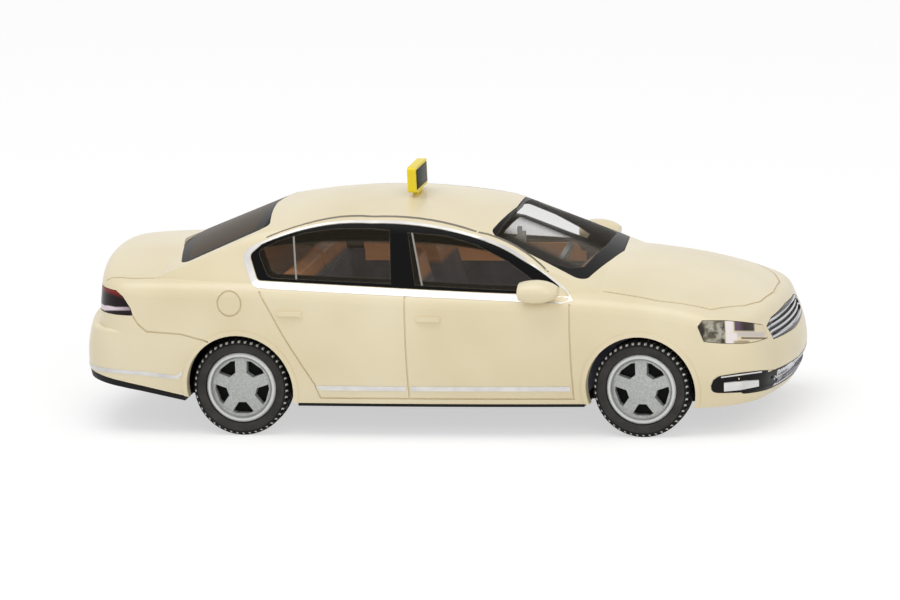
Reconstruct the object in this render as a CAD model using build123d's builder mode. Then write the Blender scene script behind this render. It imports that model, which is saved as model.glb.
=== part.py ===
from build123d import *
import math
import os

# A small plastic collector's taxi at 1:87: a one-piece body shell over clear glazing,
# an interior moulding and a black chassis, with two free-rolling axles.
# Frame: +X forward, +Y to the car's left, +Z up, origin on the ground under the middle.
# All sizes are millimetres on the model itself.

# Walls and fits
WALL = 0.8
GLASS = 0.5
FIT = 0.05
HUB_FIT = 0.02
AXLE_CLEARANCE = 0.06

# Running gear
FRONT_AXLE_X = 17.15
REAR_AXLE_X = -14.05
TYRE_R = 3.72
TYRE_WIDTH = 2.5
RIM_DISH = 0.3
# Window between two spokes: distance from the hub's centre, half width
SPOKE_WINDOW = ((1.15, 0.3), (1.9, 0.82), (2.06, 0.5))
WHEEL_FACE_Y = 9.6
RIM_R = 2.69
RIM_SEAT_R = 2.42
RIM_LIP = 0.42
RIM_INNER_R = 2.1
WHEEL_DISC = 0.55
HUB_R = 0.95
SPOKES = 5
AXLE_R = 0.5
AXLE_LENGTH = 17.2
ARCH_R = 4.2
ARCH_LIP = 0.36
ARCH_LIP_PROUD = 0.1
WELL_Y = 6.7

# Lower body: height, nose x, tail x, half width
LOWER_BODY = (
    (2.2, 26.35, -26.3, 9.75),
    (3.6, 27.2, -26.5, 10.1),
    (5.2, 27.4, -26.6, 10.35),
    (6.8, 27.05, -26.55, 10.45),
    (8.4, 26.4, -26.4, 10.4),
    (10.2, 25.0, -26.2, 10.25),
    (13.8, 22.0, -25.2, 9.6),
)
# Plan view: radii of nose and tail, of their corners, and the width left at the ends
NOSE_R = 24.0
TAIL_R = 28.0
NOSE_CORNER_R = 3.9
TAIL_CORNER_R = 3.2
END_SHARE = 0.905

# Rear bumper: height, tail x, how far its side lies inside the body
REAR_BUMPER = (
    (2.6, -26.7, 0.06),
    (4.2, -27.25, 0.04),
    (6.0, -27.4, 0.03),
    (8.2, -26.95, 0.03),
)
BUMPER_FRONT_X = -19.0
BUMPER_EDGE_R = 0.3

# Bonnet, shoulder and boot crown: x, height on the centre line, height at the edge
CROWN = (
    (-28.5, 12.1, 10.5),
    (-25.0, 12.85, 10.95),
    (-20.0, 13.2, 11.15),
    (-12.0, 13.4, 11.2),
    (0.0, 12.9, 10.75),
    (8.0, 12.55, 10.4),
    (13.0, 12.45, 10.2),
    (17.0, 12.0, 9.85),
    (21.0, 11.15, 9.15),
    (24.0, 10.0, 8.3),
    (26.5, 8.7, 7.4),
    (28.5, 7.3, 6.4),
)
CROWN_EDGE_Y = 10.6
SHOULDER_R = 1.25

# Cabin along the car: x, roof height, share of the full width
CABIN = (
    (-26.0, 12.2, 0.84),
    (-22.5, 13.3, 0.88),
    (-19.4, 14.25, 0.925),
    (-17.0, 15.05, 0.96),
    (-14.0, 15.87, 0.99),
    (-10.0, 16.58, 1.0),
    (-4.3, 16.95, 1.0),
    (2.0, 16.5, 0.995),
    (6.0, 15.73, 0.98),
    (9.0, 14.93, 0.955),
    (12.0, 14.02, 0.915),
    (14.5, 13.28, 0.87),
    (18.0, 12.25, 0.80),
    (23.0, 10.9, 0.70),
)
CABIN_HALF = 9.75
CABIN_BELT_Z = 10.4
CABIN_FOOT_Z = 6.0
TUMBLEHOME = 0.5
SIDE_BULGE = 0.15
ROOF_DROP = 0.95
RAIL_R = 1.7
# Screens: height, windscreen x and radius, rear window x and radius, half width
SCREENS = (
    (10.6, 17.8, 14.2, -26.0, 18.5, 10.9),
    (12.45, 13.56, 12.7, -21.5, 17.5, 9.9),
    (15.8, 5.9, 9.0, -13.4, 12.2, 7.6),
    (17.5, 2.0, 7.5, -9.26, 10.5, 6.3),
)
# A wall inset measured across the sloping sides and the sloping screens
SIDE_INSET = math.hypot(1.0, TUMBLEHOME)
SCREEN_INSET = 1.08

# Bottom edge of the body shell in side view, from nose to tail: x, height, how much black shows under it
SHELL_BOTTOM = (
    (29.0, 2.5, 0.1),
    (21.5, 2.25, 0.1),
    (12.8, 2.62, 0.24),
    (-9.8, 2.62, 0.24),
    (-18.0, 2.95, 0.4),
    (-22.0, 3.85, 0.45),
    (-25.4, 4.55, 0.55),
    (-29.0, 5.2, 0.6),
)
CHASSIS_TOP = 3.4
CHASSIS_FOOT_FRONT_X = 12.7
AXLE_CLIP_Y = 5.4
AXLE_CLIP_WIDTH = 1.6
AXLE_CLIP_WALL = 0.7
AXLE_CLIP_MOUTH = 0.86
POST_X = (23.4, -22.6)
POST_R = 1.2

# Side window opening in side view (x, height): its front tip, the arcs of its top edge, its rear end
WINDOW_TIP = (11.8, 10.88)
WINDOW_ARCS = (((8.55, 13.15), (5.0, 14.76)), ((0.5, 15.7), (-4.0, 15.94)), ((-8.6, 15.62), (-12.3, 14.5)))
WINDOW_REAR = ((-13.2, 13.75), (-12.45, 11.98))
WINDOW_CORNER_R = 0.4

# Windscreen and rear window on their own slopes: distance down from the header, half width
WINDSCREEN_TOP = (5.9, 15.8)
WINDSCREEN_FOOT = (13.9, 12.3)
WINDSCREEN = ((0.0, 0.0), (-0.4, 6.3), (7.9, 7.9), (8.9, 0.0))
REAR_WINDOW_TOP = (-12.9, 16.0)
REAR_WINDOW_FOOT = (-20.3, 12.95)
REAR_WINDOW = ((0.0, 0.0), (-0.7, 6.4), (6.6, 7.6), (7.9, 0.0))
SCREEN_CORNER_R = 0.9
GLAZING_FOOT = ((-30.0, 12.35), (-19.5, 12.35), (-17.0, 10.6), (11.8, 10.6), (14.8, 11.6), (30.0, 11.6))

CHASSIS_WALL = 0.8

# Interior
TUB_REAR_X = -9.9
TUB_FRONT_X = 12.9
TUB_HALF = 8.9
TUB_WALL = 0.8
TUB_FLOOR = 0.8
RIM_Z = 10.55
DASHBOARD = ((9.9, 9.2), (10.4, 10.9), (11.2, 11.35), (12.9, 11.2), (12.9, 3.6), (12.0, 3.6), (11.6, 8.6))
PARCEL_SHELF = ((-9.2, 10.2), (-9.2, 10.8), (-18.0, 11.5), (-18.0, 10.9))
SHELF_HALF = 7.2
# Seats: side outline, nearest and farthest distance from the centre line
SEAT_PARTS = (
    (((-0.6, 4.1), (5.0, 4.1), (5.4, 6.9), (4.6, 7.3), (-0.6, 6.6)), 1.6, 6.9),
    (((-0.9, 4.1), (0.6, 6.4), (-1.1, 12.7), (-1.9, 13.0), (-2.6, 12.5), (-1.0, 6.0)), 1.6, 6.9),
    (((-1.5, 12.8), (-1.3, 14.1), (-1.9, 14.4), (-2.4, 14.1), (-2.3, 12.6)), 2.9, 5.6),
    (((-9.2, 4.1), (-4.8, 4.1), (-4.4, 6.7), (-5.2, 7.1), (-9.2, 6.4)), 0.4, 7.6),
    (((-9.2, 6.0), (-8.3, 6.0), (-9.6, 12.1), (-10.3, 12.4), (-11.0, 12.0), (-9.9, 9.0)), 0.4, 7.0),
)
SEAT_EDGE_R = 0.25
STEERING_AT = (8.1, 4.0, 10.4)
STEERING_LEAN = 28.0
STEERING_R = 1.85
STEERING_RIM = 0.34
STEERING_COLUMN = 1.4
CABIN_MIRROR_AT = (6.0, 0.0, 13.2)
CABIN_MIRROR_STALK = 0.7

# Lamps and grilles: depth let into the shell, side and front outlines
LAMP_DEPTH = 0.5
LAMP_BACK = 0.75
LAMP_SIDE = 0.65
GRILLE_DEPTH = 0.55
GRILLE_REAR_X = 22.6
HEADLAMP_SIDE = ((21.75, 8.65), (22.2, 9.25), (30.0, 9.6), (30.0, 6.4), (22.2, 7.5))
HEADLAMP_FRONT = ((5.7, 6.85), (5.7, 7.95), (8.6, 8.95), (10.8, 9.4), (10.8, 7.3), (8.6, 7.1))
TAIL_LAMP_SIDE = ((-22.25, 9.3), (-22.4, 9.85), (-23.0, 10.75), (-23.6, 11.15), (-30.0, 11.35), (-30.0, 9.3))
TAIL_LAMP_FRONT = ((4.8, 9.2), (4.8, 10.6), (6.0, 11.3), (10.8, 11.3), (10.8, 9.2))
GRILLE_FRONT = ((0.0, 6.45), (5.0, 6.65), (5.3, 7.75), (4.0, 8.15), (0.0, 8.35))
LOWER_GRILLE_FRONT = ((0.0, 2.8), (5.5, 2.95), (8.4, 3.2), (9.1, 3.7), (8.9, 4.6), (3.6, 4.4), (0.0, 4.3))
GRILLE_FRAME = 0.3
GRILLE_BARS = 4
GRILLE_BAR = 0.16
GRILLE_BAR_SINK = 0.1
GRILLE_BACK = 0.2
FOG_LAMP = ((5.0, 3.3), (8.3, 3.5), (8.3, 3.95), (5.0, 3.75))
FOG_RECESS = 0.15

# Engraved panel gaps: in side view (x, z), in plan (x, y) and on the tail (y, z)
GAP_WIDTH = 0.13
GAP_DEPTH = 0.12
SIDE_GAPS = (
    ((11.95, 10.4), (11.95, 3.05), (-7.75, 3.05), (-8.15, 4.2), (-10.35, 7.9), (-12.2, 11.3)),
    ((-0.8, 11.3), (-0.8, 3.05)),
    ((-22.25, 9.25), (-21.9, 8.7), (-21.2, 8.1), (-18.5, 7.95), (-16.3, 7.4)),
)
TOP_GAPS = (
    ((13.2, 8.1), (18.5, 8.5), (22.5, 7.9), (24.5, 5.4), (25.3, 3.4), (25.6, 0.0)),
    ((-19.0, 8.3), (-22.5, 8.2), (-24.6, 7.7)),
)
TAIL_GAPS = (((4.4, 9.15), (4.2, 8.45), (0.0, 8.4)),)
FUEL_FLAP = (-14.55, 10.35)
FUEL_FLAP_R = 0.93

# Door handles in side view: middle x, height, length
HANDLES = ((-9.8, 9.65, 2.0), (1.07, 9.3, 1.85))
HANDLE_HEIGHT = 0.34
HANDLE_PROUD = 0.22

# Door mirrors
MIRROR_Y = 10.6
MIRROR_Z = 11.55
# x, half height, half width
MIRROR_SECTIONS = ((8.35, 0.68, 1.05), (9.2, 0.86, 1.2), (10.4, 0.78, 1.1), (11.3, 0.35, 0.6))
# x, y, z
MIRROR_STALK = ((10.3, 9.3, 11.15), (10.2, 10.2, 11.45))
MIRROR_STALK_R = 0.35

# Roof sign
SIGN_X = -1.82
SIGN_THICK = 0.66
SIGN_HALF = 1.85
SIGN_BOTTOM = 17.2
SIGN_TOP = 19.15
SIGN_FOOT = (0.4, 1.4)
SIGN_SOCKET = 0.45
SIGN_SEAT_Z = 16.87 - SIGN_SOCKET

AXLE_Z = TYRE_R
RIM_FACE_Y = WHEEL_FACE_Y - 0.12
WHEEL_BACK_Y = WHEEL_FACE_Y - TYRE_WIDTH


def plan_section(z, nose, tail, half, inset=0.0, front_share=END_SHARE):
    """One horizontal section: bowed nose, flanks and tail with rounded corners."""
    nose, tail, half = nose - inset, tail + inset, half - inset
    front_y, rear_y = front_share * half, END_SHARE * half
    front_x = nose - NOSE_R + math.sqrt(NOSE_R**2 - front_y**2)
    rear_x = tail + TAIL_R - math.sqrt(TAIL_R**2 - rear_y**2)
    middle = ((front_x + rear_x) / 2, half)
    with BuildSketch(Plane.XY.offset(z)) as section:
        with BuildLine():
            ThreePointArc((front_x, -front_y), (nose, 0), (front_x, front_y))
            ThreePointArc((front_x, front_y), middle, (rear_x, rear_y))
            ThreePointArc((rear_x, rear_y), (tail, 0), (rear_x, -rear_y))
            ThreePointArc((rear_x, -rear_y), (middle[0], -half), (front_x, -front_y))
        make_face()
        corners = section.vertices().sort_by(Axis.X)
        fillet(corners[2:], NOSE_CORNER_R - inset)
        fillet(section.vertices().sort_by(Axis.X)[:2], TAIL_CORNER_R - inset)
    return section.sketch


def side_prism(points, near_y, far_y, shrink=0.0, corner=0.0):
    """A side-view outline (x, z) carried across the car from near_y to far_y."""
    with BuildPart() as prism:
        with BuildSketch(Plane.XZ.offset(-far_y)) as sketch:
            with BuildLine():
                Polyline(*points, close=True)
            make_face()
            if corner:
                fillet(sketch.vertices(), corner)
            if shrink:
                offset(amount=-shrink, kind=Kind.INTERSECTION, mode=Mode.REPLACE)
        extrude(amount=far_y - near_y)
    return prism.part


def front_prism(points, near_x, far_x, shrink=0.0, mirrored=True):
    """A front-view outline (y, z) carried along the car from near_x to far_x."""
    with BuildPart() as prism:
        with BuildSketch(Plane.YZ.offset(near_x)):
            with BuildLine():
                Polyline(*points, close=True)
            make_face()
            if mirrored:
                mirror(about=Plane.YZ)
            if shrink:
                offset(amount=-shrink, kind=Kind.INTERSECTION, mode=Mode.REPLACE)
        extrude(amount=far_x - near_x)
    return prism.part


def below(points, bottom=-5.0, half=15.0):
    """Everything under a side-view line."""
    return side_prism([*points, (points[-1][0], bottom), (points[0][0], bottom)], -half, half)


def shell_line(drop=0.0, foot=0.0):
    """The shell's bottom edge in side view, lowered by a gap and by a share of the black foot."""
    return [(x, z - drop - foot * show) for x, z, show in SHELL_BOTTOM]


def half_width_at(z):
    """Half width of the lower body at a height, read off its table."""
    for low, high in zip(LOWER_BODY, LOWER_BODY[1:]):
        if z <= high[0]:
            share = (z - low[0]) / (high[0] - low[0])
            return low[3] + share * (high[3] - low[3])
    return LOWER_BODY[-1][3]


def crown_form(inset):
    """Everything below the bonnet, shoulder and boot crown."""
    with BuildPart() as crown:
        for x, middle, edge in CROWN:
            top_edge = edge - inset
            with BuildSketch(Plane.YZ.offset(x)):
                with BuildLine():
                    ThreePointArc((-CROWN_EDGE_Y, top_edge), (0, middle - inset), (CROWN_EDGE_Y, top_edge))
                    Polyline((CROWN_EDGE_Y, top_edge), (CROWN_EDGE_Y, 0), (-CROWN_EDGE_Y, 0), (-CROWN_EDGE_Y, top_edge))
                make_face()
        loft()
    return crown.part


def lower_body(inset=0.0):
    """Lower body form below the belt; taken in by inset it is the room inside, with plain edges."""
    crown = crown_form(inset)
    with BuildPart() as form:
        for z, nose, tail, half in LOWER_BODY[::2] if inset else LOWER_BODY:
            add(plan_section(z, nose, tail, half, inset))
        loft()
        add(crown, mode=Mode.INTERSECT)
        if not inset:
            fillet(form.faces().sort_by(Axis.Z)[-1].edges(), SHOULDER_R)
    return form.part


def rear_bumper():
    """The bumper's bulge behind the rear wheels, with a rounded top edge."""
    with BuildPart() as bumper:
        for z, tail, inside in REAR_BUMPER:
            half = (half_width_at(z) - inside)
            with BuildSketch(Plane.XY.offset(z)):
                add(plan_section(z, -2 * tail, tail, half).moved(Location((0, 0, -z))))
                with Locations((BUMPER_FRONT_X, 0)):
                    Rectangle(200, 40, align=(Align.MIN, Align.CENTER), mode=Mode.SUBTRACT)
        loft()
        fillet(bumper.faces().sort_by(Axis.Z)[-1].edges(), BUMPER_EDGE_R)
    return bumper.part


def chassis_outline():
    """The room inside the shell's foot that the chassis plate fills."""
    with BuildPart() as outline:
        for z, nose, tail, half in LOWER_BODY[:3]:
            add(plan_section(z, nose, tail, half, WALL + FIT))
        loft()
    return outline.part


def pushed_in(form, depth, back, side=0.0):
    """The body form moved in by a depth, to leave a slab of it: back +1 from the nose, -1 from the tail."""
    return Pos(-back * depth, -side * depth, 0) * form


def screens_form(inset):
    """Everything between the curved windscreen and the curved rear window."""
    with BuildPart() as between:
        for z, front, front_r, rear, rear_r, half in SCREENS:
            front_x = front - front_r + math.sqrt(front_r**2 - half**2)
            rear_x = rear + rear_r - math.sqrt(rear_r**2 - half**2)
            with BuildSketch(Plane.XY.offset(z - SCREEN_INSET * inset)):
                with BuildLine():
                    ThreePointArc((front_x, -half), (front, 0), (front_x, half))
                    Line((front_x, half), (rear_x, half))
                    ThreePointArc((rear_x, half), (rear, 0), (rear_x, -half))
                    Line((rear_x, -half), (front_x, -half))
                make_face()
        loft()
    return between.part


def cabin(inset=0.0):
    """Greenhouse form: crowned cross sections trimmed by the curved screens, taken in by inset."""
    between = screens_form(inset)
    with BuildPart() as form:
        for x, roof, share in CABIN:
            top = roof - inset
            rail = top - ROOF_DROP
            side = share * CABIN_HALF - SIDE_INSET * inset
            rail_y = side - share * TUMBLEHOME * (rail - CABIN_BELT_Z)
            foot_y = side - share * TUMBLEHOME * (CABIN_FOOT_Z - CABIN_BELT_Z)
            middle = ((rail_y + foot_y) / 2 + SIDE_BULGE, (rail + CABIN_FOOT_Z) / 2)
            with BuildSketch(Plane.YZ.offset(x)) as section:
                with BuildLine():
                    ThreePointArc((-rail_y, rail), (0, top), (rail_y, rail))
                    ThreePointArc((rail_y, rail), middle, (foot_y, CABIN_FOOT_Z))
                    Line((foot_y, CABIN_FOOT_Z), (-foot_y, CABIN_FOOT_Z))
                    ThreePointArc((-foot_y, CABIN_FOOT_Z), (-middle[0], middle[1]), (-rail_y, rail))
                make_face()
                fillet(section.vertices().sort_by(Axis.Y)[-2:], RAIL_R - 0.9 * inset)
        loft()
        add(between, mode=Mode.INTERSECT)
    return form.part


def screen_prism(top, foot, outline, shrink=0.0):
    """A windscreen or rear window outline carried through the glass along its normal."""
    slope = (Vector(foot[0], 0, foot[1]) - Vector(top[0], 0, top[1])).normalized()
    normal = slope.cross(Vector(0, 1, 0))
    if normal.Z < 0:
        normal = -normal
    plane = Plane(origin=(top[0], 0, top[1]), x_dir=slope, z_dir=normal)
    points = list(outline) + [(s, -w) for s, w in outline[-2:0:-1]]
    with BuildPart() as prism:
        with BuildSketch(plane.offset(-3.0)) as sketch:
            with BuildLine():
                Polyline(*points, close=True)
            make_face()
            fillet(sketch.vertices().filter_by(lambda v: abs(plane.to_local_coords(v.center()).Y) > 1), SCREEN_CORNER_R)
            if shrink:
                offset(amount=-shrink, kind=Kind.INTERSECTION, mode=Mode.REPLACE)
        extrude(amount=5.0)
    return prism.part


def side_window_prism(near_y, far_y, shrink=0.0):
    """The side window outline carried across the car from near_y to far_y."""
    with BuildPart() as prism:
        with BuildSketch(Plane.XZ.offset(-far_y)) as sketch:
            with BuildLine():
                last = WINDOW_TIP
                for middle, end in WINDOW_ARCS:
                    ThreePointArc(last, middle, end)
                    last = end
                Polyline(last, *WINDOW_REAR, WINDOW_TIP)
            make_face()
            corners = (WINDOW_TIP, WINDOW_ARCS[-1][1], *WINDOW_REAR)
            fillet(
                [v for v in sketch.vertices() if any(math.dist((v.X, v.Y), corner) < 0.01 for corner in corners)],
                WINDOW_CORNER_R,
            )
            if shrink:
                offset(amount=-shrink, mode=Mode.REPLACE)
        extrude(amount=far_y - near_y)
    return prism.part


def window_prisms(shrink=0.0):
    """Openings for the side windows, windscreen and rear window."""
    return [
        side_window_prism(5.0, 11.0, shrink),
        side_window_prism(-11.0, -5.0, shrink),
        screen_prism(WINDSCREEN_TOP, WINDSCREEN_FOOT, WINDSCREEN, shrink),
        screen_prism(REAR_WINDOW_TOP, REAR_WINDOW_FOOT, REAR_WINDOW, shrink),
    ]


def region(side, front, near_x, far_x, left=True, shrink=0.0):
    """Where a lamp's side outline and front outline overlap, on one side of the car."""
    sign = 1 if left else -1
    with BuildPart() as zone:
        add(side_prism(side, -15.0, 15.0, shrink))
        add(front_prism([(sign * y, z) for y, z in front], near_x, far_x, shrink, False), mode=Mode.INTERSECT)
    return zone.part


def lamp_regions(shrink=0.0):
    """The four lamps by piece name: region, and the ways that it is let into the body."""
    regions = {}
    for name, side, front, near, far, back in (
        ("headlamp", HEADLAMP_SIDE, HEADLAMP_FRONT, 18.0, 30.0, 1),
        ("tail_lamp", TAIL_LAMP_SIDE, TAIL_LAMP_FRONT, -30.0, -18.0, -1),
    ):
        for hand, sign in (("left", 1), ("right", -1)):
            zone = region(side, front, near, far, sign > 0, shrink)
            regions[f"{name}_{hand}"] = (zone, LAMP_BACK * back, LAMP_SIDE * sign)
    return regions


def arch_lips(form, sign):
    """Raised lips around the two wheel arches of one flank."""
    with BuildPart() as lips:
        with BuildSketch(Plane.XZ.offset(-CROWN_EDGE_Y * sign)):
            with Locations((FRONT_AXLE_X, AXLE_Z), (REAR_AXLE_X, AXLE_Z)):
                Circle(ARCH_R + ARCH_LIP)
        extrude(amount=sign * WALL * 3)
        add(Pos(0, sign * ARCH_LIP_PROUD, 0) * form, mode=Mode.INTERSECT)
    return lips.part


def door_handles(form, sign):
    """The two moulded door handles of one flank."""
    with BuildPart() as handles:
        for x, z, length in HANDLES:
            with BuildSketch(Plane.XZ.offset(-CROWN_EDGE_Y * sign)):
                with Locations((x, z)):
                    SlotOverall(length, HANDLE_HEIGHT)
        extrude(amount=sign * WALL * 3)
        add(Pos(0, sign * HANDLE_PROUD, 0) * form, mode=Mode.INTERSECT)
    return handles.part


def gap_lines(plane, lines, depth, rings=()):
    """Panel lines and rings drawn on a plane, GAP_WIDTH wide, carried back through the body."""
    with BuildPart() as gaps:
        with BuildSketch(plane):
            for points in lines:
                with BuildLine():
                    Polyline(*points)
                trace(line_width=GAP_WIDTH)
            for centre, radius in rings:
                with Locations(centre):
                    Circle(radius + GAP_WIDTH / 2)
                    Circle(radius - GAP_WIDTH / 2, mode=Mode.SUBTRACT)
        extrude(amount=-depth)
    return gaps.part


def panel_gaps(body, cabin_form):
    """What is engraved, GAP_DEPTH deep: doors, bumper, bonnet, boot lid and the filler flap."""
    top_lines = [*TOP_GAPS, *([(x, -y) for x, y in line] for line in TOP_GAPS)]
    tail_lines = [*TAIL_GAPS, *([(-y, z) for y, z in line] for line in TAIL_GAPS)]
    reach = 3.0
    drawn = (
        (gap_lines(Plane.XZ.offset(CROWN_EDGE_Y), SIDE_GAPS, reach, [(FUEL_FLAP, FUEL_FLAP_R)]), (0, GAP_DEPTH, 0)),
        (gap_lines(Plane.XZ.offset(reach - CROWN_EDGE_Y), SIDE_GAPS, reach), (0, -GAP_DEPTH, 0)),
        (gap_lines(Plane.XY.offset(14.0), top_lines, 7.0), (0, 0, -GAP_DEPTH)),
        (gap_lines(Plane.YZ.offset(-22.0), tail_lines, 6.0), (GAP_DEPTH, 0, 0)),
    )
    with BuildPart() as engraved:
        for lines, inwards in drawn:
            across_top = inwards[2] != 0
            add(lines - Pos(*inwards) * body - (Pos(0, 0, 0) if across_top else Pos(*inwards)) * cabin_form)
    return engraved.part


def body_posts(body):
    """The two posts that the chassis plate is held to."""
    with BuildPart() as posts:
        with Locations(*((x, 0, CHASSIS_TOP) for x in POST_X)):
            Cylinder(POST_R, 12.0, align=(Align.CENTER, Align.CENTER, Align.MIN))
        add(body, mode=Mode.INTERSECT)
    return posts.part


def body_shell(forms):
    """The cream body moulding: a hollow shell with its openings and pockets."""
    raised = [trim(forms["body"], sign) for trim in (arch_lips, door_handles) for sign in (1, -1)]
    posts, gaps = body_posts(forms["body"]), panel_gaps(forms["body"], forms["cabin"])
    with BuildPart() as shell:
        add(forms["body"])
        for trim in raised:
            add(trim)
        add(rear_bumper())
        add(forms["cabin"])
        add(forms["body_inner"], mode=Mode.SUBTRACT)
        add(forms["cabin_inner"], mode=Mode.SUBTRACT)
        add(posts)
        add(below(shell_line()), mode=Mode.SUBTRACT)
        add(gaps, mode=Mode.SUBTRACT)
        with Locations(*((x, 0, AXLE_Z) for x in (FRONT_AXLE_X, REAR_AXLE_X))):
            Cylinder(ARCH_R, 30.0, rotation=(90, 0, 0), mode=Mode.SUBTRACT)
        for prism in window_prisms():
            add(prism, mode=Mode.SUBTRACT)
        for zone, back, side in lamp_regions().values():
            add(zone - pushed_in(forms["body"], LAMP_DEPTH + FIT, back, side), mode=Mode.SUBTRACT)
        for outline in (GRILLE_FRONT, LOWER_GRILLE_FRONT):
            zone = front_prism(outline, GRILLE_REAR_X, 30.0)
            add(zone - pushed_in(forms["body"], GRILLE_DEPTH + FIT, 1), mode=Mode.SUBTRACT)
        with Locations((SIGN_X, 0, SIGN_SEAT_Z)):
            Box(
                SIGN_FOOT[0] + 2 * FIT, SIGN_FOOT[1] + 2 * FIT, SIGN_BOTTOM - SIGN_SEAT_Z,
                align=(Align.CENTER, Align.CENTER, Align.MIN), mode=Mode.SUBTRACT,
            )
    return shell.part


def glazing(forms):
    """One clear moulding: a liner inside the cabin with a raised pad in each window."""
    pads = [forms["cabin"] & prism for prism in window_prisms(FIT)]
    with BuildPart() as glass:
        for pad in pads:
            add(pad)
        add(forms["glass_outer"])
        add(forms["glass_inner"], mode=Mode.SUBTRACT)
        add(below(GLAZING_FOOT), mode=Mode.SUBTRACT)
    return glass.part


def interior_tub(forms):
    """Grey interior moulding: floor, door cards, dashboard, seats and parcel shelf."""
    length = TUB_FRONT_X - TUB_REAR_X
    low = CHASSIS_TOP
    with BuildPart() as tub:
        with Locations(((TUB_FRONT_X + TUB_REAR_X) / 2, 0, low)):
            Box(length, 2 * TUB_HALF, RIM_Z - low, align=(Align.CENTER, Align.CENTER, Align.MIN))
        with Locations(((TUB_FRONT_X + TUB_REAR_X) / 2, 0, low + TUB_FLOOR)):
            Box(
                length - 2 * TUB_WALL, 2 * (TUB_HALF - TUB_WALL), RIM_Z,
                align=(Align.CENTER, Align.CENTER, Align.MIN), mode=Mode.SUBTRACT,
            )
        add(side_prism(DASHBOARD, -(TUB_HALF - TUB_WALL), TUB_HALF - TUB_WALL))
        add(side_prism(PARCEL_SHELF, -SHELF_HALF, SHELF_HALF))
        for outline, near, far in SEAT_PARTS:
            for sign in (1, -1):
                low_y, high_y = sorted((sign * near, sign * far))
                add(side_prism(outline, low_y, high_y, 0.0, SEAT_EDGE_R))
        add(forms["tub_room"], mode=Mode.INTERSECT)
    return tub.part


def steering_wheel():
    """Rim, spokes and column, leaning back from the dashboard."""
    plane = Plane(
        origin=STEERING_AT, x_dir=(0, 1, 0),
        z_dir=(-math.cos(math.radians(STEERING_LEAN)), 0, math.sin(math.radians(STEERING_LEAN))),
    )
    with BuildPart() as wheel:
        with BuildSketch(plane.offset(-STEERING_RIM / 2)):
            Circle(STEERING_R)
            Circle(STEERING_R - STEERING_RIM, mode=Mode.SUBTRACT)
            Rectangle(2 * STEERING_R - STEERING_RIM, STEERING_RIM * 1.3)
            Circle(STEERING_RIM * 1.3)
        extrude(amount=STEERING_RIM)
        with BuildSketch(plane):
            Circle(STEERING_RIM * 0.8)
        extrude(amount=-STEERING_COLUMN)
    return wheel.part


def rear_view_mirror():
    """The cabin mirror, hung from the windscreen header."""
    x, y, z = CABIN_MIRROR_AT
    with BuildPart() as mirror_piece:
        with Locations((x, y, z)):
            Box(0.35, 2.6, 0.8)
        with Locations((x, y, z + 0.3)):
            Box(0.3, 0.4, CABIN_MIRROR_STALK, align=(Align.CENTER, Align.CENTER, Align.MIN))
    return mirror_piece.part


def axle_clips(axle_x):
    """The two open clips that an axle snaps into."""
    half = AXLE_R + AXLE_CLEARANCE + AXLE_CLIP_WALL
    low = CHASSIS_TOP - CHASSIS_WALL
    with BuildPart() as clips:
        with Locations((axle_x, AXLE_CLIP_Y, low), (axle_x, -AXLE_CLIP_Y, low)):
            Box(2 * half, AXLE_CLIP_WIDTH, AXLE_Z + half - low, align=(Align.CENTER, Align.CENTER, Align.MIN))
        with Locations((axle_x, 0, AXLE_Z)):
            Cylinder(AXLE_R + AXLE_CLEARANCE, 20, rotation=(90, 0, 0), mode=Mode.SUBTRACT)
            Box(AXLE_CLIP_MOUTH, 20, 8, align=(Align.CENTER, Align.CENTER, Align.MAX), mode=Mode.SUBTRACT)
    return clips.part


def chassis_foot(body):
    """The part of the underbody that shows below the shell, flush with its flanks and tail."""
    with BuildPart() as foot:
        add(body)
        add(rear_bumper())
        add(below(shell_line(FIT)), mode=Mode.INTERSECT)
        with Locations((CHASSIS_FOOT_FRONT_X, 0, 0)):
            Box(40, 40, 20, align=(Align.MIN, Align.CENTER, Align.CENTER), mode=Mode.SUBTRACT)
    return foot.part


def chassis_plate(forms):
    """Black underbody with wheel wells, axle clips and the strip that shows under the sills."""
    reach = TYRE_R + 0.75
    trough = AXLE_R + 4 * AXLE_CLEARANCE
    foot = chassis_foot(forms["body"])
    clips = [axle_clips(axle_x) for axle_x in (FRONT_AXLE_X, REAR_AXLE_X)]
    with BuildPart() as plate:
        add(chassis_outline())
        with Locations((0, 0, CHASSIS_TOP)):
            Box(80, 40, 40, align=(Align.CENTER, Align.CENTER, Align.MIN), mode=Mode.SUBTRACT)
        add(foot)
        add(below(shell_line(0.0, 1.0)), mode=Mode.SUBTRACT)
        for axle_x in (FRONT_AXLE_X, REAR_AXLE_X):
            with Locations((axle_x, WELL_Y + 5, 0), (axle_x, -WELL_Y - 5, 0)):
                Box(2 * reach, 10, 20, mode=Mode.SUBTRACT)
            with Locations((axle_x, 0, AXLE_Z)):
                Box(2 * trough, 2 * WELL_Y, 6, mode=Mode.SUBTRACT)
        for pair in clips:
            add(pair)
    return plate.part


def axle(x):
    """A plain steel pin across the car."""
    with BuildPart() as pin:
        with Locations((x, 0, AXLE_Z)):
            Cylinder(AXLE_R, AXLE_LENGTH, rotation=(90, 0, 0))
        chamfer(pin.edges().filter_by(GeomType.CIRCLE), AXLE_R * 0.2)
    return pin.part


def spoke_window():
    """One opening between two spokes, drawn outwards along x."""
    outline = [(r, -half) for r, half in SPOKE_WINDOW] + [(r, half) for r, half in reversed(SPOKE_WINDOW)]
    with BuildSketch() as window:
        with BuildLine():
            Polyline(*outline, close=True)
        make_face()
    return window.sketch


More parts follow.
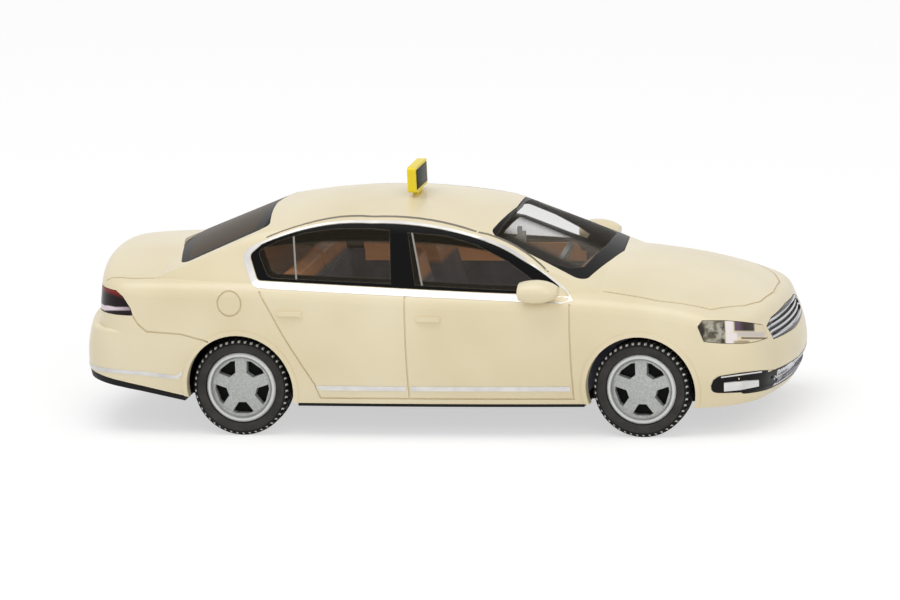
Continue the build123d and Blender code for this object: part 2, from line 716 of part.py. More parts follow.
def wheel():
    """Left wheel at the origin: lipped rim, five spokes and a plain hub on a blind bore."""
    lip_back = RIM_FACE_Y - RIM_LIP
    disc_back = RIM_FACE_Y - RIM_DISH - WHEEL_DISC
    with BuildPart() as rim:
        with BuildSketch(Plane.XY):
            with BuildLine():
                Polyline(
                    (0, WHEEL_BACK_Y + 0.1), (HUB_R, WHEEL_BACK_Y + 0.1), (HUB_R, disc_back),
                    (RIM_INNER_R, disc_back), (RIM_INNER_R, WHEEL_BACK_Y + 0.1),
                    (RIM_SEAT_R, WHEEL_BACK_Y + 0.1), (RIM_SEAT_R, lip_back), (RIM_R, lip_back),
                    (RIM_R, RIM_FACE_Y - 0.1), (RIM_R - 0.12, RIM_FACE_Y), (RIM_R - 0.3, RIM_FACE_Y),
                    (RIM_INNER_R + 0.1, RIM_FACE_Y - RIM_DISH), (HUB_R, RIM_FACE_Y - 0.1),
                    (HUB_R * 0.55, RIM_FACE_Y - 0.02), (0, RIM_FACE_Y - 0.02), close=True,
                )
            make_face()
        revolve(axis=Axis.Y)
        with BuildSketch(Plane.XZ.offset(-RIM_FACE_Y - 1)):
            with PolarLocations(0, SPOKES, start_angle=90 + 180 / SPOKES):
                add(spoke_window())
        extrude(amount=WHEEL_DISC + RIM_DISH + 2, mode=Mode.SUBTRACT)
        with Locations((0, AXLE_LENGTH / 2, 0)):
            Cylinder(
                AXLE_R + HUB_FIT, TYRE_WIDTH + 1, rotation=(90, 0, 0),
                align=(Align.CENTER, Align.CENTER, Align.MIN), mode=Mode.SUBTRACT,
            )
    return rim.part


def tyre():
    """Left tyre at the origin, with a stepped bore that takes the rim's lip."""
    lip_back = RIM_FACE_Y - RIM_LIP - HUB_FIT
    bore = RIM_SEAT_R + HUB_FIT
    lip = RIM_R + HUB_FIT
    back, front = WHEEL_BACK_Y, WHEEL_FACE_Y
    with BuildPart() as ring:
        with BuildSketch(Plane.XY):
            with BuildLine():
                Polyline(
                    (bore, back + 0.12), (bore + 0.5, back), (TYRE_R - 0.35, back + 0.05),
                    (TYRE_R, back + 0.4), (TYRE_R, front - 0.4), (TYRE_R - 0.35, front - 0.05),
                    (bore + 0.6, front), (lip, front - 0.1), (lip, lip_back), (bore, lip_back), close=True,
                )
            make_face()
        revolve(axis=Axis.Y)
    return ring.part


def placed(piece, x, left):
    """A wheel or tyre moved to its axle, mirrored for the right-hand side."""
    moved = piece if left else piece.mirror(Plane.XZ)
    return Pos(x, 0, AXLE_Z) * moved


def conformal(form, back, outline):
    """A slice of the body's own surface inside an outline."""
    with BuildPart() as slab:
        add(form)
        add(back, mode=Mode.SUBTRACT)
        add(outline, mode=Mode.INTERSECT)
    return slab.part


def nose_insert(forms, outline):
    """A grille moulding let into the nose: a frame around a sunk back."""
    body = forms["body"]
    with BuildPart() as insert:
        add(conformal(body, pushed_in(body, GRILLE_DEPTH, 1), front_prism(outline, GRILLE_REAR_X, 30.0, FIT)))
        inner = front_prism(outline, GRILLE_REAR_X, 30.0, GRILLE_FRAME)
        add(inner - pushed_in(body, GRILLE_DEPTH - GRILLE_BACK, 1), mode=Mode.SUBTRACT)
    return insert.part


def radiator_grille(forms):
    """Bright surround and bars over a dark back, following the nose."""
    body = forms["body"]
    back = pushed_in(body, GRILLE_DEPTH, 1)
    low = min(z for _, z in GRILLE_FRONT)
    high = max(z for _, z in GRILLE_FRONT)
    pitch = (high - low) / (GRILLE_BARS + 1)
    with BuildPart() as bars:
        with Locations(*((25.0, 0, low + pitch * (i + 1)) for i in range(GRILLE_BARS))):
            Box(10, 16, GRILLE_BAR)
        add(front_prism(GRILLE_FRONT, GRILLE_REAR_X, 30.0, 2 * FIT), mode=Mode.INTERSECT)
        add(pushed_in(body, GRILLE_BAR_SINK, 1), mode=Mode.INTERSECT)
        add(back, mode=Mode.SUBTRACT)
    with BuildPart() as grille:
        add(nose_insert(forms, GRILLE_FRONT))
        add(bars.part)
    return grille.part


def lower_grille(forms):
    """The dark lower intake with its fog lamp bars."""
    body = forms["body"]
    with BuildPart() as grille:
        add(nose_insert(forms, LOWER_GRILLE_FRONT))
        for sign in (1, -1):
            bar = front_prism([(sign * y, z) for y, z in FOG_LAMP], GRILLE_REAR_X, 30.0, 0.0, False)
            add(conformal(pushed_in(body, FOG_RECESS, 1), pushed_in(body, GRILLE_DEPTH, 1), bar))
    return grille.part


def door_mirror(left):
    """A mirror housing on its foot at the base of the windscreen pillar."""
    sign = 1 if left else -1
    with BuildPart() as housing:
        for x, half_height, half_width in MIRROR_SECTIONS:
            with BuildSketch(Plane.YZ.offset(x)):
                with Locations((sign * MIRROR_Y, MIRROR_Z)):
                    Ellipse(half_width, half_height)
        loft()
        for x, y, z in MIRROR_STALK[:1]:
            with BuildSketch(Plane.XZ.offset(-sign * y)):
                with Locations((x, z)):
                    Circle(MIRROR_STALK_R)
        for x, y, z in MIRROR_STALK[1:]:
            with BuildSketch(Plane.XZ.offset(-sign * y)):
                with Locations((x, z)):
                    Circle(MIRROR_STALK_R)
        loft()
    return housing.part


def roof_sign():
    """The blank two-faced roof sign on a foot that plugs into the roof."""
    with BuildPart() as sign:
        with BuildSketch(Plane.YZ.offset(SIGN_X - SIGN_THICK / 2)) as face:
            with Locations((0, (SIGN_TOP + SIGN_BOTTOM) / 2)):
                RectangleRounded(2 * SIGN_HALF, SIGN_TOP - SIGN_BOTTOM, 0.25)
        extrude(amount=SIGN_THICK)
        with Locations((SIGN_X, 0, SIGN_SEAT_Z)):
            Box(
                SIGN_FOOT[0], SIGN_FOOT[1], SIGN_BOTTOM - SIGN_SEAT_Z + 0.2,
                align=(Align.CENTER, Align.CENTER, Align.MIN),
            )
    return sign.part


def main():
    forms = {
        "body": lower_body(),
        "body_inner": lower_body(WALL),
        "cabin": cabin(),
        "cabin_inner": cabin(WALL),
        "glass_outer": cabin(WALL + FIT),
        "glass_inner": cabin(WALL + FIT + GLASS),
    }
    with BuildPart() as room:
        add(lower_body(WALL + FIT))
        with Locations((0, 0, RIM_Z)):
            Box(80, 40, 20, align=(Align.CENTER, Align.CENTER, Align.MIN), mode=Mode.SUBTRACT)
        add(cabin(WALL + FIT + GLASS + FIT))
    forms["tub_room"] = room.part
    left_wheel, left_tyre = wheel(), tyre()
    pieces = {
        "body_shell": body_shell(forms),
        "glazing": glazing(forms),
        "interior_tub": interior_tub(forms),
        "steering_wheel": steering_wheel(),
        "rear_view_mirror": rear_view_mirror(),
        "chassis_plate": chassis_plate(forms),
        "front_axle": axle(FRONT_AXLE_X),
        "rear_axle": axle(REAR_AXLE_X),
        "radiator_grille": radiator_grille(forms),
        "lower_grille": lower_grille(forms),
        "mirror_left": door_mirror(True),
        "mirror_right": door_mirror(False),
        "roof_sign": roof_sign(),
    }
    for name, (zone, back, side) in lamp_regions(FIT).items():
        pieces[name] = conformal(forms["body"], pushed_in(forms["body"], LAMP_DEPTH, back, side), zone)
    for end, x in (("front", FRONT_AXLE_X), ("rear", REAR_AXLE_X)):
        for side in ("left", "right"):
            pieces[f"wheel_{end}_{side}"] = placed(left_wheel, x, side == "left")
            pieces[f"tyre_{end}_{side}"] = placed(left_tyre, x, side == "left")
    os.makedirs("parts", exist_ok=True)
    for name, piece in pieces.items():
        print(name, round(piece.volume, 2), piece.is_valid, len(piece.solids()), len(piece.faces()))
        piece.label = name
        export_step(piece, f"parts/{name}.step")


main()
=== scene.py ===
import math

import bmesh
import bpy
from mathutils import Matrix, Vector
from mathutils.bvhtree import BVHTree


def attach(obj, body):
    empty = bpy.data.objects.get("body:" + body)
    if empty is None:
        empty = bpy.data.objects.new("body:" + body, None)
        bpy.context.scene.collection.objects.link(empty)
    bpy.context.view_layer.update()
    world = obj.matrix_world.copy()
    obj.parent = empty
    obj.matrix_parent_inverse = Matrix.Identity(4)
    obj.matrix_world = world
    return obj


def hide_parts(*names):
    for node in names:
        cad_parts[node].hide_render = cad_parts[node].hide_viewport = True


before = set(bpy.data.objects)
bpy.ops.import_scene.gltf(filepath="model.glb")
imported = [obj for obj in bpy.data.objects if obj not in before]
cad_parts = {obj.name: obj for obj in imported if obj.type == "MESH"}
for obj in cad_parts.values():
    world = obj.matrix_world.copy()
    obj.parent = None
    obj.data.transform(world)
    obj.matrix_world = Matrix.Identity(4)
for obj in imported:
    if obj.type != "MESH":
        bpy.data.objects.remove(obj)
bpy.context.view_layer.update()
mm = 0.001
print("frame loaded")


class Wire:  # an output socket of a material's tree, with arithmetic on it
    def __init__(self, tree, socket=None):
        self.tree = tree
        self.socket = socket

    def add(self, kind, settings=None, inputs=None, out=0):  # any other node: settings first, then sockets
        made = self.tree.nodes.new(kind)
        for key, value in (settings or {}).items():
            setattr(made, key, value)
        for key, value in (inputs or {}).items():
            if isinstance(value, Wire):
                self.tree.links.new(value.socket, made.inputs[key])
            else:
                made.inputs[key].default_value = value
        return Wire(self.tree, made.outputs[out])

    def maths(self, operation, first, second=0.0, third=0.0):
        return self.add("ShaderNodeMath", {"operation": operation}, {0: first, 1: second, 2: third})

    def __add__(self, other):
        return self.maths("ADD", self, other)

    __radd__ = __add__

    def __sub__(self, other):
        return self.maths("SUBTRACT", self, other)

    def __rsub__(self, other):
        return self.maths("SUBTRACT", other, self)

    def __mul__(self, other):
        return self.maths("MULTIPLY", self, other)

    __rmul__ = __mul__

    def __truediv__(self, other):
        return self.maths("DIVIDE", self, other)

    def within(self, low, high):  # 0 below low, 1 above high, straight between
        return self.add("ShaderNodeMapRange", {}, {"Value": self, "From Min": low, "From Max": high})

    def mix(self, first, second):  # colours, by this mask
        return self.add("ShaderNodeMix", {"data_type": "RGBA"}, {"Factor": self, 6: first, 7: second}, 2)


def newMaterial(name):
    made = bpy.data.materials.new(name)
    made.use_nodes = True
    made.node_tree.nodes.clear()
    return made, Wire(made.node_tree)


def close(tree, shader, kind="ShaderNodeOutputMaterial"):  # link the finished shader to the output
    output = tree.tree.nodes.new(kind)
    tree.tree.links.new(shader.socket, output.inputs["Surface"])


def placeOf(tree):  # object coordinates in millimetres
    spot = tree.add("ShaderNodeTexCoord", out=3)
    return tree.add("ShaderNodeVectorMath", {"operation": "SCALE"}, {0: spot, "Scale": 1.0 / mm})


def axisOf(tree, spot, axis):  # x, y or z of a place, by number
    return tree.add("ShaderNodeSeparateXYZ", {}, {0: spot}, axis)


def noise(tree, spot, size, detail=2.0, roughness=0.5):  # grains of about size millimetres, 0 to 1
    return tree.add("ShaderNodeTexNoise", {}, {
        "Vector": spot, "Scale": 1.0 / size, "Detail": detail, "Roughness": roughness})


def bump(tree, height, strength, depth):
    return tree.add("ShaderNodeBump", {}, {"Height": height, "Strength": strength, "Distance": depth * mm})


def rgb(red, green, blue):  # a screen colour, 0 to 255, as the linear colour that shaders take
    def linear(value):
        share = value / 255.0
        return share / 12.92 if share <= 0.04045 else ((share + 0.055) / 1.055) ** 2.4
    return (linear(red), linear(green), linear(blue), 1.0)


# Camera, as fitted to the photograph

camera = {"aim": (0.0, 0.0, 8.5), "distance": 1500.0, "azimuth": 13.943, "elevation": 12.535, "roll": 2.828,
          "lens": 787.19, "sensor": 36.0, "near": 0.02, "far": 20.0,
          "pixelFocal": 19679.84, "aimPixel": (446.62, 299.36), "middlePixel": (450.0, 300.0)}


def cameraAxes():
    azimuth, elevation, roll = (math.radians(camera[key]) for key in ("azimuth", "elevation", "roll"))
    ahead = Vector((-math.sin(azimuth) * math.cos(elevation), math.cos(azimuth) * math.cos(elevation),
                    -math.sin(elevation)))
    level = Vector((math.cos(azimuth), math.sin(azimuth), 0.0))
    upright = level.cross(ahead)
    right = math.cos(roll) * level - math.sin(roll) * upright
    up = math.sin(roll) * level + math.cos(roll) * upright
    return ahead, right, up


def towardPixel(u, v):  # from the camera to one of the photograph's pixels, 1 ahead
    ahead, right, up = cameraAxes()
    across = (u - camera["middlePixel"][0]) / camera["pixelFocal"]
    above = (camera["middlePixel"][1] - v) / camera["pixelFocal"]
    return ahead + across * right + above * up


def cameraPlace():
    return Vector(camera["aim"]) - camera["distance"] * towardPixel(*camera["aimPixel"])


def makeCamera():
    ahead, right, up = cameraAxes()
    made = bpy.data.objects.new("photoCamera", bpy.data.cameras.new("photoCamera"))
    made.data.lens = camera["lens"]
    made.data.sensor_width = camera["sensor"]
    made.data.clip_start = camera["near"]
    made.data.clip_end = camera["far"]
    turn = Matrix((right, up, -ahead)).transposed()
    made.matrix_world = Matrix.Translation(cameraPlace() * mm) @ turn.to_4x4()
    bpy.context.scene.collection.objects.link(made)
    bpy.context.scene.camera = made


# Finishes

ivory = {"colour": rgb(235, 223, 191), "warm": rgb(225, 211, 175), "cloudSize": 9.0, "grainSize": 0.25}


def ivoryPlastic():  # a little cloudy, with a fine grain under thin gloss
    made, tree = newMaterial("ivoryPlastic")
    spot = placeOf(tree)
    cloud = noise(tree, spot, ivory["cloudSize"])
    grain = noise(tree, spot, ivory["grainSize"], 3.0)
    colour = cloud.within(0.35, 0.7).mix(ivory["colour"], ivory["warm"])
    shader = tree.add("ShaderNodeBsdfPrincipled", {}, {
        "Base Color": colour, "Roughness": 0.3 + 0.08 * grain, "Coat Weight": 0.16, "Coat Roughness": 0.12,
        "Specular IOR Level": 0.42, "Normal": bump(tree, grain, 0.06, 0.02),
    })
    close(tree, shader)
    return made


plainCloud = 4.0  # size in millimetres of the soft spots in plain plastics


def plainPlastic(name, colour, darker, roughness, grainSize=0.3, metallic=0.0, relief=0.12, shine=0.5,
                 glow=0.0):
    made, tree = newMaterial(name)
    spot = placeOf(tree)
    cloud = noise(tree, spot, plainCloud, 3.0)
    grain = noise(tree, spot, grainSize, 3.0)
    colour = cloud.within(0.3, 0.7).mix(colour, darker)
    shader = tree.add("ShaderNodeBsdfPrincipled", {}, {
        "Base Color": colour, "Roughness": roughness + 0.12 * grain, "Metallic": metallic,
        "Specular IOR Level": shine, "Emission Color": colour, "Emission Strength": glow,
        "Normal": bump(tree, grain, relief, 0.03),
    })
    close(tree, shader)
    return made


def insideOutline(tree, first, second, corners, soft=0.04):  # 1 inside a convex outline
    centre = [sum(corner[axis] for corner in corners) / len(corners) for axis in (0, 1)]
    inside = None
    for (firstA, secondA), (firstB, secondB) in zip(corners, corners[1:] + corners[:1]):
        along = math.hypot(firstB - firstA, secondB - secondA)
        slopes = [(secondA - secondB) / along, (firstB - firstA) / along]
        start = slopes[0] * firstA + slopes[1] * secondA
        if slopes[0] * centre[0] + slopes[1] * centre[1] < start:
            slopes, start = [-slope for slope in slopes], -start
        reach = first * slopes[0] + second * slopes[1] - start
        inside = reach if inside is None else tree.maths("MINIMUM", inside, reach)
    return inside.within(-soft, soft)


glass = {
    "print": rgb(14, 14, 15), "tint": rgb(122, 112, 94), "rearTint": rgb(66, 54, 38),
    "bright": rgb(150, 148, 142),
    "cover": 0.08, "rimCover": 0.26, "rearCover": 0.88,  # how much of what is behind the glass it hides
    "soft": 0.1,
    # side panes as they show inside the printed black frames, in x and z, and how far out they begin
    "rearPane": [(-12.5, 13.9), (-12.2, 14.2), (-11.0, 14.75), (-9.0, 15.3), (-6.6, 15.6), (-4.0, 15.62),
                 (-2.39, 15.5), (-2.03, 11.8), (-11.3, 12.15), (-11.75, 12.4)],
    "frontPane": [(-0.97, 15.36), (2.01, 15.12), (4.41, 14.5), (6.86, 13.35), (8.52, 12.3), (9.35, 11.65),
                  (9.1, 11.32), (7.9, 11.3), (-0.12, 11.7)],
    "sideFrom": 6.3,
    # pale lines on the outer faces of the side panes, in x and z
    "dividers": [((-9.84, 14.95), (-9.45, 12.34)), ((-0.62, 15.3), (0.24, 12.34))],
    "dividerHalf": 0.06, "dividerSoft": 0.03, "lean": 0.5, "outerFace": (14.55, 14.65),
    # screens: upper edge and the way down in x and z, then corners in distance down and half width
    "windscreen": [(5.9, 15.8), (0.9162, -0.4008),
                   [(0.14, 6.15), (4.6, 7.15), (6.4, 6.8), (7.2, 5.8), (7.5, 0.0)]],
    "rearWindow": [(-12.9, 16.0), (-0.9245, -0.3811), [(0.5, 6.0), (6.0, 7.0), (6.9, 0.0)]],
    "screenDepth": 1.45, "rearFrom": (-12.7, -13.0),
}


def windowPlastic():  # clear inside the panes, printed black round them
    made, tree = newMaterial("windowPlastic")
    spot = placeOf(tree)
    x, y, z = (axisOf(tree, spot, axis) for axis in range(3))
    out = tree.maths("ABSOLUTE", y)
    soft, depth = glass["soft"], glass["screenDepth"]
    sides = out.within(glass["sideFrom"] - soft, glass["sideFrom"] + soft)
    screens = None
    for key in ("windscreen", "rearWindow"):
        (topX, topZ), (downX, downZ), corners = glass[key]
        corners = corners + [(down, -half) for down, half in reversed(corners) if half > 0.0]
        down = (x - topX) * downX + (z - topZ) * downZ
        above = (x - topX) * math.copysign(downZ, downX) + (z - topZ) * abs(downX)
        near = above.within(-depth - soft, -depth + soft) * down.within(-soft, soft)
        pane = near * insideOutline(tree, down, y, corners)
        sides = sides * (1.0 - near)
        screens = pane if screens is None else tree.maths("MAXIMUM", screens, pane)
    panes = [insideOutline(tree, x, z, glass[key]) for key in ("rearPane", "frontPane")]
    panes = sides * tree.maths("MAXIMUM", *panes)
    lines = 0.0
    for (x1, z1), (x2, z2) in glass["dividers"]:
        slant = (x2 - x1) / (z2 - z1)
        beside = tree.maths("ABSOLUTE", x - (x1 - z1 * slant) - z * slant)
        lines = lines + beside.within(glass["dividerHalf"] + glass["dividerSoft"], glass["dividerHalf"])
    lines = panes * (out + glass["lean"] * z).within(*glass["outerFace"]) * lines
    clear = tree.maths("MAXIMUM", panes, screens) * (1.0 - lines)
    rear = x.within(*glass["rearFrom"])
    rim = tree.add("ShaderNodeLayerWeight", {}, {"Blend": 0.3}, 0)
    cover = glass["cover"] + (glass["rimCover"] - glass["cover"]) * rim
    cover = cover + (glass["rearCover"] - glass["cover"]) * rear
    ripple = noise(tree, spot, 2.5)
    tint = rear.mix(glass["tint"], glass["rearTint"])
    shader = tree.add("ShaderNodeBsdfPrincipled", {}, {
        "Base Color": lines.mix(clear.mix(glass["print"], tint), glass["bright"]), "IOR": 1.5,
        "Roughness": 0.32 - (0.26 - 0.3 * rear) * clear + 0.04 * ripple, "Alpha": 1.0 - clear * (1.0 - cover),
        "Specular IOR Level": 0.06, "Normal": bump(tree, ripple, 0.06, 0.05),
    })
    close(tree, shader)
    return made


# On the lamps' curved lenses, along and up are x and z as they show from the photograph's side

lensTurn = {"outermost": 9.6, "along": 0.215, "up": 0.238}


def lensPlace(tree, spot, most=None):
    x, y, z = (axisOf(tree, spot, axis) for axis in range(3))
    inwards = lensTurn["outermost"] - tree.maths("ABSOLUTE", y)
    if most:
        inwards = tree.maths("MINIMUM", inwards, most)
    return x + lensTurn["along"] * inwards, z + lensTurn["up"] * inwards


headlamp = {
    "chamber": rgb(166, 162, 144), "spots": rgb(88, 82, 64), "edge": rgb(44, 36, 27),
    "lens": rgb(228, 214, 180), "floor": rgb(206, 196, 188), "lineShade": rgb(150, 130, 100),
    "divider": rgb(238, 230, 228), "violet": rgb(94, 74, 92), "bowl": rgb(44, 30, 25),
    "sill": rgb(104, 80, 60),
    "tip": (22.45, 22.25), "tipHeight": 8.3, "tipSlope": 0.35,
    "lensFrom": (23.85, 23.95), "bowlFade": (24.9, 25.35),
    # colour, softness, then left, right, low and high of each block
    "chamberBlocks": [("edge", 0.1, (22.8, 23.35, 8.09, 8.3)),
                      ("edge", 0.1, (23.7, 23.9, 8.5, 9.0), (23.55, 23.85, 7.35, 7.75))],
    "lensBlocks": [("floor", 0.1, (24.7, 26.9, 7.92, 8.3)),
                   ("lineShade", 0.1, (24.5, 25.7, 7.42, 7.6)),
                   ("divider", 0.1, (23.95, 24.5, 7.0, 10.0), (24.3, 24.8, 7.6, 8.2)),
                   ("bowl", 0.07, (24.6, 26.13, 8.36, 9.15)),
                   ("sill", 0.04, (25.1, 27.3, 7.75, 7.88))],
}


def headlampPlastic():  # a speckled chamber at the tip, then a divider, a dark bowl and a pale lens
    made, tree = newMaterial("headlampLens")
    spot = placeOf(tree)
    along, up = lensPlace(tree, spot)
    bowl = along.within(*headlamp["bowlFade"]).mix(headlamp["violet"], headlamp["bowl"])
    shades = dict(headlamp, bowl=bowl)

    def block(soft, left, right, low, high):
        across = along.within(left - soft, left + soft) * along.within(right + soft, right - soft)
        return across * up.within(low - soft, low + soft) * up.within(high + soft, high - soft)

    def painted(colour, blocks):
        for shade, soft, *places in blocks:
            masks = [block(soft, *place) for place in places]
            mask = tree.maths("MAXIMUM", *masks) if len(masks) > 1 else masks[0]
            colour = mask.mix(colour, shades[shade])
        return colour

    cloud = noise(tree, spot, 0.45, 3.0)
    colour = cloud.within(0.42, 0.6).mix(headlamp["chamber"], headlamp["spots"])
    colour = painted(colour, headlamp["chamberBlocks"])
    tip = along + headlamp["tipSlope"] * tree.maths("ABSOLUTE", up - headlamp["tipHeight"])
    colour = tip.within(*headlamp["tip"]).mix(colour, headlamp["edge"])
    colour = along.within(*headlamp["lensFrom"]).mix(colour, headlamp["lens"])
    colour = painted(colour, headlamp["lensBlocks"])
    shader = tree.add("ShaderNodeBsdfPrincipled", {}, {
        "Base Color": colour, "Roughness": 0.15 + 0.08 * cloud, "Coat Weight": 0.2, "Coat Roughness": 0.04,
        "Specular IOR Level": 0.25, "Normal": bump(tree, cloud, 0.12, 0.05),
    })
    close(tree, shader)
    return made


tailLamp = {
    "red": rgb(150, 40, 38), "dark": rgb(22, 7, 9), "streak": rgb(232, 214, 222), "foot": rgb(26, 14, 14),
    "redEdge": (10.65, 11.15), "redSlope": 0.3, "redAt": -23.1,
    "streakLow": (9.68, 9.78), "streakHigh": (10.03, 9.95), "streakRise": 0.12, "riseFrom": (-23.6, -24.2),
    "faded": 0.35, "fade": (-22.4, -23.8), "footEdge": (9.7, 9.62), "mostInwards": 1.3,
}


def tailLampPlastic():  # red upper edge, near black in the middle, a silvery streak above a dark foot
    made, tree = newMaterial("tailLampPlastic")
    spot = placeOf(tree)
    along, up = lensPlace(tree, spot, tailLamp["mostInwards"])
    cloud = noise(tree, spot, 0.6)
    redness = up + tailLamp["redSlope"] * (along - tailLamp["redAt"])
    colour = redness.within(*tailLamp["redEdge"]).mix(tailLamp["dark"], tailLamp["red"])
    fade = tailLamp["faded"] + (1.0 - tailLamp["faded"]) * along.within(*tailLamp["fade"])
    top = up - tailLamp["streakRise"] * along.within(*tailLamp["riseFrom"])
    streak = fade * up.within(*tailLamp["streakLow"]) * top.within(*tailLamp["streakHigh"])
    colour = streak.mix(colour, tailLamp["streak"])
    colour = up.within(*tailLamp["footEdge"]).mix(colour, tailLamp["foot"])
    shader = tree.add("ShaderNodeBsdfPrincipled", {}, {
        "Base Color": colour, "Roughness": 0.2 + 0.06 * cloud, "Coat Weight": 0.08, "Coat Roughness": 0.04,
        "Specular IOR Level": 0.16, "Normal": bump(tree, cloud, 0.08, 0.03),
    })
    close(tree, shader)
    return made


grille = {"bright": rgb(200, 200, 202), "gap": rgb(20, 20, 21), "low": 6.45, "pitch": 0.38,
          "barEdge": (0.24, 0.15)}


def grilleFoil():  # bright bars with dark gaps between them, at the heights of the solid's bars
    made, tree = newMaterial("grilleFoil")
    spot = placeOf(tree)
    z = axisOf(tree, spot, 2)
    share = tree.maths("PINGPONG", (z - grille["low"]) / grille["pitch"], 0.5)
    bar = share.within(*grille["barEdge"])
    cloud = noise(tree, spot, 0.3, 3.0)
    shader = tree.add("ShaderNodeBsdfPrincipled", {}, {
        "Base Color": bar.mix(grille["gap"], grille["bright"]), "Metallic": 0.9 * bar,
        "Roughness": 0.18 + 0.15 * cloud, "Normal": bump(tree, cloud, 0.08, 0.02),
    })
    close(tree, shader)
    return made


intake = {"black": rgb(20, 19, 19), "mesh": rgb(226, 226, 230), "meshHalf": 5.2, "low": 3.0, "high": 4.35,
          "soft": 0.1, "cell": 0.36, "lineEdge": (0.22, 0.12)}


def intakePlastic():  # black, with a pale mesh of cells in the middle
    made, tree = newMaterial("intakePlastic")
    spot = placeOf(tree)
    y, z = (axisOf(tree, spot, axis) for axis in (1, 2))
    cells = tree.add("ShaderNodeTexVoronoi", {"feature": "DISTANCE_TO_EDGE"}, {
        "Vector": spot, "Scale": 1.0 / intake["cell"], "Randomness": 0.15})
    soft = intake["soft"]
    middle = tree.maths("ABSOLUTE", y).within(intake["meshHalf"] + soft, intake["meshHalf"] - soft)
    middle = middle * z.within(intake["low"], intake["low"] + soft)
    middle = middle * z.within(intake["high"], intake["high"] - soft)
    mesh = middle * cells.within(*intake["lineEdge"])
    grain = noise(tree, spot, 0.2, 3.0)
    shader = tree.add("ShaderNodeBsdfPrincipled", {}, {
        "Base Color": mesh.mix(intake["black"], intake["mesh"]), "Metallic": 0.3 * mesh,
        "Roughness": 0.35 + 0.15 * grain, "Specular IOR Level": 0.2, "Normal": bump(tree, mesh, 0.4, 0.05),
    })
    close(tree, shader)
    return made


tyre = {"axles": (17.15, -14.05), "frontFrom": (1.0, 2.0), "radius": 3.72, "pitches": 46,
        "rubber": rgb(60, 58, 56), "shade": rgb(46, 45, 43), "deep": rgb(14, 14, 13),
        "blockGlints": rgb(205, 205, 203),
        # radii, and the part of each pitch that a painted glint takes
        "deepFrom": (3.32, 3.4), "glintRing": (3.5, 3.64), "seatRing": (2.6, 2.76), "glintShare": (0.3, 0.36)}


def wheelPlace(tree, spot):  # across and up from the nearest axle, and the distance from it
    x, z = (axisOf(tree, spot, axis) for axis in (0, 2))
    frontAxle, rearAxle = tyre["axles"]
    across = x - (rearAxle + (frontAxle - rearAxle) * x.within(*tyre["frontFrom"]))
    up = z - tyre["radius"]
    return across, up, tree.maths("SQRT", across * across + up * up)


def ringMask(radius, low, high, soft=0.02):
    return radius.within(low - soft, low + soft) * radius.within(high + soft, high - soft)


def tyreRubber():  # painted highlights: pale dots on the tread's shoulder, as glints on the ends of its blocks
    made, tree = newMaterial("tyreRubber")
    spot = placeOf(tree)
    across, up, radius = wheelPlace(tree, spot)
    turn = tree.maths("ARCTAN2", up, across) * (tyre["pitches"] / (2 * math.pi))
    glinted = tree.maths("PINGPONG", turn, 0.5).within(*tyre["glintShare"])
    grain = noise(tree, spot, 0.12, 4.0)
    cloud = noise(tree, spot, 1.2)
    colour = cloud.within(0.35, 0.65).mix(tyre["rubber"], tyre["shade"])
    colour = radius.within(*tyre["deepFrom"]).mix(colour, tyre["deep"])
    # the pale dots are painted glints on the ends of the tread blocks
    colour = (glinted * ringMask(radius, *tyre["glintRing"])).mix(colour, tyre["blockGlints"])
    colour = ringMask(radius, *tyre["seatRing"]).mix(colour, tyre["deep"])
    shader = tree.add("ShaderNodeBsdfPrincipled", {}, {
        "Base Color": colour, "Roughness": 0.62 + 0.2 * grain, "Specular IOR Level": 0.25,
        "Normal": bump(tree, grain, 0.25, 0.03),
    })
    close(tree, shader)
    return made


wheelLook = {"silver": rgb(194, 196, 193), "shade": rgb(156, 158, 156), "lip": rgb(214, 215, 213),
             "wellShade": rgb(140, 141, 140), "dark": rgb(24, 24, 24),
             # radii, and how far out the painted shade behind the spokes ends
             "wellRing": (2.28, 2.36), "lipFrom": (2.4, 2.46), "darkFrom": (8.75, 8.55)}


def wheelSilver():  # grainy silver, a painted highlight on the lip with a line of painted shade inside it, painted shade behind the spokes
    made, tree = newMaterial("wheelSilver")
    spot = placeOf(tree)
    radius = wheelPlace(tree, spot)[2]
    out = tree.maths("ABSOLUTE", axisOf(tree, spot, 1))
    grain = noise(tree, spot, 0.16, 3.0, 0.7)
    colour = grain.within(0.3, 0.72).mix(wheelLook["silver"], wheelLook["shade"])
    # painted shade in the well, a painted highlight on the lip, and painted shade behind the spokes
    colour = ringMask(radius, *wheelLook["wellRing"]).mix(colour, wheelLook["wellShade"])
    colour = radius.within(*wheelLook["lipFrom"]).mix(colour, wheelLook["lip"])
    colour = out.within(*wheelLook["darkFrom"]).mix(colour, wheelLook["dark"])
    shader = tree.add("ShaderNodeBsdfPrincipled", {}, {
        "Base Color": colour, "Roughness": 0.34 + 0.14 * grain, "Metallic": 0.25,
        "Normal": bump(tree, grain, 0.3, 0.03),
    })
    close(tree, shader)
    return made


chrome = {"colour": rgb(232, 230, 226), "shade": rgb(206, 205, 206)}


def chromeFoil():
    made, tree = newMaterial("chromeFoil")
    spot = placeOf(tree)
    cloud = noise(tree, spot, 1.6)
    grain = noise(tree, spot, 0.5)
    shader = tree.add("ShaderNodeBsdfPrincipled", {}, {
        "Base Color": cloud.within(0.3, 0.7).mix(chrome["colour"], chrome["shade"]), "Metallic": 0.45,
        "Roughness": 0.34 + 0.06 * grain, "Normal": bump(tree, cloud, 0.05, 0.02),
    })
    close(tree, shader)
    return made


cabin = {"grey": rgb(112, 114, 126), "shade": rgb(78, 80, 92), "brown": rgb(214, 152, 106),
         "deepBrown": rgb(190, 128, 86), "brownFrom": (10.9, 11.3),
         "glow": 0.08}  # stands for light through the thin ivory shell


